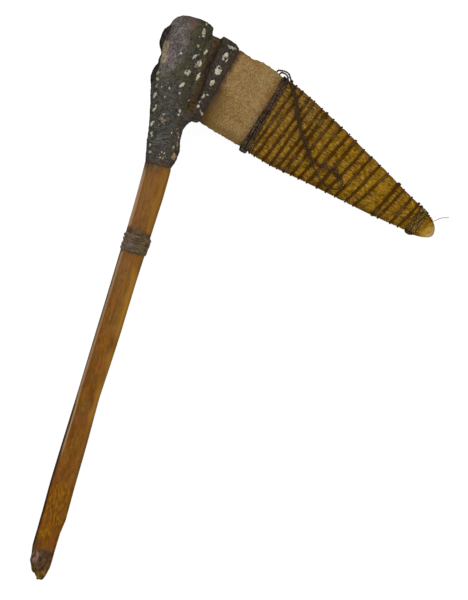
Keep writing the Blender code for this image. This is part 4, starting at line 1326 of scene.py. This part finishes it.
def arm_section(tree, y, side, x, z):
    """Centre of one arm of the stick at Y, found from a place in it at the last one."""
    top = tree.ray_cast(Vector((x, y, FAR * side)), Vector((0.0, 0.0, -side)))[0]
    inner = tree.ray_cast(Vector((x, y, top.z - 0.0001 * side)), Vector((0.0, 0.0, -side)))[0]
    z = (top.z + inner.z) / 2
    left = tree.ray_cast(Vector((x, y, z)), Vector((-1.0, 0.0, 0.0)))[0]
    right = tree.ray_cast(Vector((x, y, z)), Vector((1.0, 0.0, 0.0)))[0]
    return (left.x + right.x) / 2, z


def arm_line(tree, side, foot):
    """Centres of one arm from its foot to the start of the bend, with the way out from the other arm."""
    line = []
    x, z = 0.003, 0.003 * side
    for row in range(ARM_ROWS):
        y = foot + (BEND_CENTRE_Y - foot) * row / (ARM_ROWS - 1)
        x, z = arm_section(tree, min(y, BEND_CENTRE_Y - 0.0003), side, x, z)
        line.append(Vector((x, y, z)))
    ways = []
    for row, place in enumerate(line):
        before, after = line[max(row - 3, 0)], line[min(row + 3, ARM_ROWS - 1)]
        ways.append(Vector((0.0, before.z - after.z, after.y - before.y)).normalized() * side)
    return list(zip(line, ways))


def stick_line(tree):
    """Centres of the whole stick: up the front arm, over the bend and down the back arm."""
    front = arm_line(tree, 1, FRONT_FOOT)
    back = arm_line(tree, -1, BACK_FOOT)
    x = (front[-1][0].x + back[-1][0].x) / 2
    reach = front[-1][0].z
    bend = []
    for row in range(1, BEND_ROWS):
        turn = pi * row / BEND_ROWS
        out = Vector((0.0, sin(turn), cos(turn)))
        bend.append((Vector((x, BEND_CENTRE_Y, 0.0)) + out * reach, out))
    return front + bend + back[::-1]


def spread(ring):
    """Middle and half width of a ring across X."""
    low, high = min(corner.x for corner in ring), max(corner.x for corner in ring)
    return (low + high) / 2, (high - low) / 2


def way_round(out, side):
    """The way from the stick's centre line to one side of it."""
    turn = tau * side / ARM_SIDES
    return Vector((cos(turn), 0.0, 0.0)) + out * sin(turn)


def ring_round(tree, centre, out):
    """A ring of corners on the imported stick's surface, a little worn."""
    reach = []
    for side in range(ARM_SIDES):
        hit = tree.ray_cast(centre, way_round(out, side))
        reach.append(hit[3] if hit[0] else None)
    least = min(r for r in reach if r is not None)
    reach = [least if r is None else r for r in reach]
    worn = [(reach[k - 1] + 2 * reach[k] + reach[(k + 1) % ARM_SIDES]) / 4 for k in range(ARM_SIDES)]
    return [centre + way_round(out, side) * worn[side] for side in range(ARM_SIDES)]


def widen_end(arm):
    """Makes the broken end of an arm as wide as the arm."""
    middle, wide = spread(next(ring for centre, ring in arm if centre.y > RAGGED_FROM))
    for centre, ring in arm:
        if centre.y < RAGGED_FROM:
            here, width = spread(ring)
            for corner in ring + [centre]:
                corner.x = middle + (corner.x - here) * wide / width


def left_edge(front, back):
    """(Y, X) of the stick's left edge, down both its arms."""
    edge = [(centre.y, min(corner.x for corner in ring)) for centre, ring in front]
    for centre, ring in back:
        row = min(range(ARM_ROWS), key=lambda k: abs(edge[k][0] - centre.y))
        edge[row] = (edge[row][0], min(edge[row][1], *(corner.x for corner in ring)))
    return edge


def end_rings(centre, ring):
    """Smaller rings inside the last one, from the centre out."""
    return [[centre.lerp(corner, k / END_ROWS) for corner in ring] for k in range(END_ROWS)]


def grained(place, normal):
    """Height of the wood's surface: fibres and scraped flats, and set back under the resin."""
    fibres = rumple((place.x, place.y / 40, place.z), 0.0011) * 0.00007
    fibres += rumple((place.x, place.y / 18, place.z), 0.0025, 8.0) * 0.00010
    scraped = rumple((place.x, place.y / 6, place.z), 0.009, 3.0) * 0.00018
    covered = UNDER_RESIN * step(place.y, -0.0785, -0.0740)
    return (fibres + scraped) * step(place.y, -0.078, -0.088) - covered


def stained(place, normal):
    """The dark foot of the handle."""
    return step(foot_level(place) + 0.0026 * rumple(place, 0.004, 2.0), -0.3640, -0.3690)


def shiny(place, normal):
    """The painted pinkish highlight of the gloss at the left of the stain."""
    spot = hypot((place.x + 0.0042) / 0.0030, (place.y + 0.3725) / 0.0050)
    return step(spot, 1.3, 0.4) * step(normal.z, 0.0, 0.3)


def reddish(place, normal):
    """Redder at the right of the stain."""
    return step(place.x, 0.0010, 0.0050) * band(place.y, -0.379, -0.370, 0.003)


def raw_end(place, normal):
    """The broken wood at the very end."""
    return step(place.y + 0.0020 * rumple(place, 0.002, 5.0) - 0.25 * place.x, -0.3790, -0.3830)


def over_binding(place, normal):
    """The dark stain above the binding, higher at the left."""
    reach = -0.1254 - 0.0020 * step(place.x, 0.000, 0.009) + 0.0009 * rumple(place, 0.002)
    return step(place.y, reach + 0.0014, reach - 0.0012) * step(place.y, -0.1440, -0.1425)


def under_head(place, normal):
    """Painted shadow on the wood below the resin."""
    return step(foot_level(place) + 0.0030 * rumple(place, 0.004, 9.0), -0.0850, -0.0775)


def right_side(place, normal):
    """The lighter right side, brightest along two stretches."""
    bright = 0.25 + 0.20 * step(place.y, -0.145, -0.125)
    bright += 0.75 * max(band(place.y, -0.200, -0.163, 0.012), band(place.y, -0.262, -0.222, 0.014))
    ragged = 0.0022 * rumple((place.x, place.y / 3, place.z), 0.004, 2.0)
    return step(place.x + ragged, 0.0026, 0.0072) * step(normal.z, -0.3, 0.0) * bright


def seam(place, normal):
    """Painted shade in the gap between the arms."""
    return step(place.z, 0.0014, 0.0004) * step(place.z, -0.0012, -0.0002)


def purplish(place, normal):
    """The upper handle is a little purple at the left."""
    return step(place.y, -0.205, -0.150) * step(place.x, 0.005, -0.003)


def low(place, normal):
    """The foot of the handle is redder and more worn."""
    return step(place.y, -0.150, -0.240)


def dull(place, normal):
    """Browner above the stained foot."""
    return step(place.y + 0.004 * rumple(place, 0.006, 4.0), -0.346, -0.362)


def golden(place, normal):
    """The stretch of rubbed gold above the foot."""
    return band(place.y + 0.008 * rumple(place, 0.008, 6.0), -0.358, -0.322, 0.010)


def break_foot(bm):
    """Draws the lowest rows of the stick out to the broken foot's outline."""
    for vert in bm.verts:
        if vert.co.y < RAGGED_FROM:
            ragged = 0.0012 * rumple((vert.co.x, 0.0, vert.co.z), 0.0016, 3.0)
            foot = along(FOOT_OUTLINE, vert.co.x) + ragged
            share = (vert.co.y - RAGGED_FROM) / (FRONT_FOOT - RAGGED_FROM)
            vert.co.y = min(RAGGED_FROM + share * (foot - RAGGED_FROM), RAGGED_FROM)
            vert.co.x += share * rumple(vert.co, 0.0015, 5.0) * 0.0006
    bm.normal_update()


def stick():
    tree = surface("handle_wood")
    rings = [(centre, ring_round(tree, centre, out)) for centre, out in stick_line(tree)]
    front, back = rings[:ARM_ROWS], rings[:-ARM_ROWS - 1:-1]
    widen_end(front)
    widen_end(back)
    left = left_edge(front, back)
    corners = end_rings(*rings[0]) + [ring for centre, ring in rings] + end_rings(*rings[-1])[::-1]
    bm = skin(len(corners), ARM_SIDES, lambda row, side: corners[row][side])
    for vert in bm.verts:
        x, y, z = vert.co
        if z > 0 and x < -0.002:
            vert.co.x += WORN_BACK * band(y, -0.285, -0.085, 0.030) * step(x, -0.004, -0.0085)
    bm.normal_update()

    def from_left(place):
        """Distance from the stick's left edge."""
        return place.x - along(left, place.y)

    def pale_edge(place, normal):
        """Painted highlight along the left edge of the front arm."""
        inner = step(place.y, -0.150, -0.125)
        outer = 0.0007 * step(place.y, -0.245, -0.270)
        line = band(from_left(place), 0.0008 * (1 - inner) + outer, 0.0019 + outer, 0.0006)
        return line * step(normal.z, -0.4, -0.1) * band(place.y, -0.288, -0.082, 0.015)

    def dark_edge(place, normal):
        """Painted shade on the rear arm's edge past the front arm's, darker down the handle."""
        wide = 0.0008 * step(place.y, -0.245, -0.270)
        line = step(from_left(place), 0.0011 + wide, 0.0003 + wide) * step(normal.z, -0.4, -0.1)
        line *= step(place.y, -0.125, -0.150) * step(place.y, -0.372, -0.362)
        return line * (0.25 + 0.75 * step(place.y, -0.240, -0.280))

    mark(bm, stained, shiny, reddish, raw_end, over_binding, under_head, right_side, seam, purplish, low,
         dull, golden, pale_edge, dark_edge)
    relief(bm, grained)
    break_foot(bm)
    return piece("stick", bm, wood_finish(), "wood", "handle_wood", past=STICK_PAST)


def wood_finish():
    wood = Finish("oiled_golden_wood")
    streaks = wood.noise(wood.place(stretch=(1.0, 12.0, 1.0)), 0.0024, 3.0, 0.6)
    hairs = wood.noise(wood.place(stretch=(1.0, 12.0, 1.0)), 0.0007, 2.0, 0.6)
    mottle = wood.noise(wood.place(stretch=(1.0, 1.8, 1.0), shift=(0.2, 0.0, 0.0)), 0.0026, 3.0, 0.6)
    flecks = wood.noise(wood.place(stretch=(1.0, 1.8, 1.0), shift=(0.0, 0.2, 0.0)), 0.0018, 2.0, 0.6)
    patches = wood.noise(wood.place(stretch=(1.0, 3.0, 1.0), shift=(0.0, 0.1, 0.0)), 0.0065, 2.0)
    grain = wood.noise(wood.place(stretch=(1.0, 3.2, 1.0), shift=(0.0, 0.2, 0.1)), 0.0013, 3.0, 0.6)
    hue = wood.noise(wood.place(stretch=(1.0, 3.0, 1.0), shift=(0.3, 0.0, 0.0)), 0.0060, 2.0)
    reds = wood.noise(wood.place(stretch=(1.0, 2.4, 1.0), shift=(0.0, 0.0, 0.2)), 0.0048, 2.0)

    lower = wood.layers(
        rgb(106, 60, 8),
        (streaks.step(0.36, 0.64), rgb(124, 78, 14)),
        (hue.step(0.50, 0.64) * 0.6, rgb(132, 80, 4)),
        (hue.step(0.47, 0.34) * 0.5, rgb(108, 62, 26)),
        (patches.step(0.48, 0.36) * 0.5, rgb(102, 76, 26)))
    gilt = wood.layers(
        rgb(100, 58, 0),
        (grain.step(0.36, 0.64), rgb(150, 98, 0)),
        (reds.step(0.50, 0.60) * 0.7, rgb(126, 62, 8)),
        (grain.step(0.42, 0.34) * 0.5, rgb(84, 58, 10)))
    stain = wood.layers(
        rgb(50, 34, 18),
        (mottle.step(0.38, 0.62), rgb(92, 70, 50)),
        (wood.mask("reddish") * mottle.step(0.40, 0.60) * 0.8, rgb(108, 62, 26)),
        # painted highlight on the glossy stain, broken into streaks
        (wood.mask("shiny") * (hairs * 0.5 + flecks * 0.5).step(0.44, 0.58) * 0.85, rgb(166, 138, 124)))
    dirty = wood.mix(mottle.step(0.40, 0.60), rgb(58, 42, 27), rgb(94, 76, 56))
    raw = wood.mix(mottle.step(0.40, 0.60), rgb(76, 52, 14), rgb(134, 100, 42))

    # the dark stain above the binding, and the painted shadow below the resin, both in the dirty colour
    dirt = (wood.mask("over_binding") * 0.9).most(wood.mask("under_head") * 0.85)
    colour = wood.layers(
        rgb(112, 72, 26),
        (streaks.step(0.36, 0.64), rgb(130, 90, 38)),
        (hue.step(0.50, 0.66) * 0.5, rgb(134, 84, 14)),
        (hue.step(0.46, 0.32) * 0.4, rgb(106, 80, 20)),
        (patches.step(0.46, 0.34) * 0.4, rgb(100, 60, 22)),
        (wood.mask("purplish") * 0.40, rgb(122, 84, 50)),
        (wood.mask("low"), lower),
        (mottle.step(0.46, 0.34) * 0.35, rgb(88, 50, 6)),
        (mottle.step(0.54, 0.66) * 0.40, rgb(150, 104, 28)),
        (reds.step(0.52, 0.66) * 0.45, rgb(138, 78, 34)),
        (wood.mask("dull") * 0.40, rgb(78, 52, 22)),
        (wood.mask("right_side") * 0.80, rgb(174, 124, 38)),
        (hairs.step(0.54, 0.68) * 0.25, rgb(84, 50, 10)),
        (hairs.step(0.46, 0.34) * 0.25, rgb(160, 114, 44)),
        (wood.mask("golden") * 0.92, gilt),
        # painted shade in the gap between the arms
        (wood.mask("seam") * 0.8, rgb(52, 34, 18)),
        # painted highlight along the front arm's left edge
        (wood.mask("pale_edge") * 0.75, rgb(190, 154, 116)),
        # painted shade on the rear arm's edge
        (wood.mask("dark_edge") * 0.85, rgb(52, 30, 12)),
        ((dirt * (0.4 + mottle * 1.2)).clamp(), dirty),
        ((wood.mask("stained") + mottle * 0.8 - 0.4).clamp() * 0.95, stain),
        ((wood.mask("raw_end") + mottle * 0.6 - 0.3).clamp(), raw))

    roughness = 0.55 + (streaks - 0.5) * 0.3 - wood.mask("stained") * 0.2 + wood.mask("raw_end") * 0.3
    height = streaks * 0.3 + hairs * 0.3 + mottle * (0.2 + wood.mask("stained") * 0.8)
    return wood.done(colour, roughness.clamp(), wood.bump(height, 0.0006, 0.6), Specular_IOR_Level=0.10)


# ---------------------------------------------------------------- the binding round the handle

BINDING_FROM, BINDING_TO = -0.1435, -0.1300
BINDING_TURNS = 5
BINDING_DIAMETER, BINDING_TWIST = 0.0025, 0.0075
BINDING_PITCH = (BINDING_TO - BINDING_FROM) / BINDING_TURNS
BINDING_MIDDLE = (BINDING_FROM + BINDING_TO) / 2
BINDING_SIDES, BINDING_ROWS = 112, 70
BINDING_KNOT, BINDING_KNOT_SIZE = -0.1342, 0.0042
INSET, SKIN_INSET = 0.0003, 0.0002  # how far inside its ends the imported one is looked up, and the skin ends
LEFT_SUNK = 0.0006


def binding_reach():
    """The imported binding's middle X, and its outer radius round that by angle and Y."""
    tree = surface("handle_binding")
    left = tree.ray_cast(Vector((-FAR, BINDING_MIDDLE, 0.0)), Vector((1.0, 0.0, 0.0)))[0]
    right = tree.ray_cast(Vector((FAR, BINDING_MIDDLE, 0.0)), Vector((-1.0, 0.0, 0.0)))[0]
    x = (left.x + right.x) / 2

    def reach(turn, y):
        way = Vector((cos(turn), 0.0, sin(turn)))
        start = Vector((x, min(max(y, BINDING_FROM + INSET), BINDING_TO - INSET), 0.0)) + way * FAR
        return FAR - tree.ray_cast(start, -way)[3]

    return x, reach


def handle_binding():
    x, reach = binding_reach()

    def smooth_reach(turn, y):
        """The radius without its ridges."""
        return sum(reach(turn, y + BINDING_PITCH * k / 6) for k in range(-3, 4)) / 7

    def left_sunk(turn):
        """The binding is worn at the left."""
        return LEFT_SUNK * step(cos(turn), -0.2, -0.8)

    def corner(row, side):
        """The dirt and resin in and over the string, thick on the right with a knot under it."""
        turn = tau * side / BINDING_SIDES
        skin_length = BINDING_TO - BINDING_FROM - 2 * SKIN_INSET
        y = BINDING_FROM + SKIN_INSET + skin_length * row / (BINDING_ROWS - 1)
        blurred = step(cos(turn), 0.0, 0.7)
        ridge = cos(tau * (y - BINDING_FROM - 0.0010 * sin(turn * 0.5)) / BINDING_PITCH)
        from_knot = hypot((y - BINDING_KNOT) / BINDING_KNOT_SIZE, (cos(turn) - 1) / 0.35)
        knot = step(from_knot, 1.0, 0.2) * 0.0004
        end = 0.0006 * step(abs(y - BINDING_MIDDLE), 0.0055, 0.0066)
        lumps = crumple((x + cos(turn) * 0.011, y, sin(turn) * 0.010), 0.0030, 3) * 0.00028
        lift = -0.00035 + ridge * 0.00020 * (1 - blurred) + knot - end + lumps - blurred * 0.0002
        lift -= left_sunk(turn)
        skin_reach = reach(turn, y)
        if blurred:
            skin_reach += (smooth_reach(turn, y) - skin_reach) * blurred
        return Vector((x, y, 0.0)) + Vector((cos(turn), 0.0, sin(turn))) * (skin_reach + lift)

    bm = skin(BINDING_ROWS, BINDING_SIDES, corner)
    line = []
    for k in range(BINDING_TURNS * TURN_POINTS):
        turn = tau * k / TURN_POINTS
        turns = k / TURN_POINTS * (BINDING_TURNS - 0.9) / BINDING_TURNS
        y = BINDING_FROM + BINDING_PITCH * (0.45 + turns)
        sunk = 0.0014 * step(cos(turn), 0.0, 0.6) + left_sunk(turn)
        radius = reach(turn, y) - BINDING_DIAMETER * 0.42 - sunk
        line.append(Vector((x + cos(turn) * radius, y, sin(turn) * radius)))
    join(bm, two_ply([line], BINDING_DIAMETER, BINDING_TWIST, 0.25))

    def dirty(place, normal):
        """The right half, under its dirt."""
        return step(place.x + 0.002 * rumple(place, 0.004), x - 0.001, x + 0.003)

    def side(place, normal):
        """The paler string round the sides."""
        return step(abs(normal.z), 0.80, 0.20) * step(normal.z, -0.3, 0.0)

    mark(bm, dirty, side)
    return piece("handle_string", bm, old_string_finish(), "old_string", "handle_binding")


def old_string_finish():
    string = Finish("string_under_dirt")
    mottle = string.noise(string.place(stretch=(3.0, 1.0, 3.0)), 0.0011, 3.0, 0.6)
    broad = string.noise(string.place(), 0.005, 2.0)
    olive_dirt = string.mix(mottle.step(0.36, 0.66), rgb(60, 46, 18), rgb(110, 92, 50))
    colour = string.layers(
        rgb(66, 50, 38),
        (mottle.step(0.36, 0.66), rgb(112, 92, 78)),
        (broad.step(0.48, 0.66) * 0.3, rgb(84, 66, 36)),
        (string.mask("dirty") * 0.8, olive_dirt),
        (string.mask("side") * 0.5, rgb(140, 122, 92)))
    return string.done(colour, 0.65, string.bump(mottle, 0.0005, 0.7), Specular_IOR_Level=0.3)


# ---------------------------------------------------------------- floor, light and camera

# The camera looks straight down from far above, so hardly anything shows in perspective.
VIEW_HEIGHT = 2.4
VIEW_LENS = 200.0
VIEW_CENTRE = (0.0799, -0.1548)  # on the pick
VIEW_TURN = radians(16.82)
VIEW_DEPTH = 60.0
AIM = LAY @ Vector((*VIEW_CENTRE, 0.0))

FLOOR_REACH, FLOOR_DROP = 20.0, 0.0002
FLOOR_GLOW, FLOOR_SHADE = 0.93, 0.16
LAMP_PLACE, LAMP_SIZE, LAMP_POWER = (-0.85, 0.65, 1.35), 0.9, 15.0
FILL_PLACE, FILL_SIZE, FILL_POWER = (1.1, -0.4, 1.5), 1.4, 9.0
WORLD_SHADES = ((0.0, 0.06), (0.49, 0.10), (0.53, 0.80), (0.72, 0.75), (0.90, 0.30), (1.0, 0.16))


def floor():
    bm = bmesh.new()
    bmesh.ops.create_grid(bm, x_segments=1, y_segments=1, size=FLOOR_REACH)
    mesh = bpy.data.meshes.new("floor")
    bm.to_mesh(mesh)
    bm.free()
    paper = Finish("pale_floor")
    mesh.materials.append(paper.done((FLOOR_SHADE,) * 3, 1.0, Emission_Color=(1.0, 1.0, 1.0),
                                     Emission_Strength=FLOOR_GLOW, Specular_IOR_Level=0.0))
    made = bpy.data.objects.new("floor", mesh)
    made.location.z = -FLOOR_DROP
    made.visible_diffuse = made.visible_glossy = False
    bpy.context.scene.collection.objects.link(made)
    made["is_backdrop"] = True


def lamp(name, place, size, power_w):
    """A round lamp that faces the pick."""
    light = bpy.data.lights.new(name, "AREA")
    light.shape, light.size, light.energy = "DISK", size, power_w
    made = bpy.data.objects.new(name, light)
    made.location = place
    made.rotation_euler = (AIM - Vector(place)).to_track_quat("-Z", "Y").to_euler()
    bpy.context.scene.collection.objects.link(made)


def lights():
    """Soft light from all sides and two lamps. It is dark straight above, so little of it shines back."""
    scene = bpy.context.scene
    scene.view_settings.view_transform = "Standard"
    scene.world = bpy.data.worlds.new("room")
    room = Nodes(scene.world)
    direction = room.node("ShaderNodeTexCoord", {}, output="Generated")
    height = room.node("ShaderNodeSeparateXYZ", {}, direction, output="Z")
    share = room.node("ShaderNodeMapRange", {}, height, -1.0)
    shade = room.node("ShaderNodeValToRGB", {"stops": WORLD_SHADES}, share)
    room.fill(room.tree.nodes["Background"], shade)
    lamp("window", LAMP_PLACE, LAMP_SIZE, LAMP_POWER)
    lamp("wall", FILL_PLACE, FILL_SIZE, FILL_POWER)


def camera():
    made = bpy.data.objects.new("camera", bpy.data.cameras.new("camera"))
    made.data.lens = VIEW_LENS
    made.data.clip_end = VIEW_DEPTH
    made.location = (AIM.x, AIM.y, AIM.z + VIEW_HEIGHT)
    made.rotation_euler = Euler((0.0, 0.0, VIEW_TURN))
    bpy.context.scene.collection.objects.link(made)
    bpy.context.scene.camera = made


camera()
loose_string()
hair(sheath_string())
bark()
stick()
stone()
resin()
handle_binding()
floor()
lights()

[[list(corner) for corner in box] for box in (cad_box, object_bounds())]
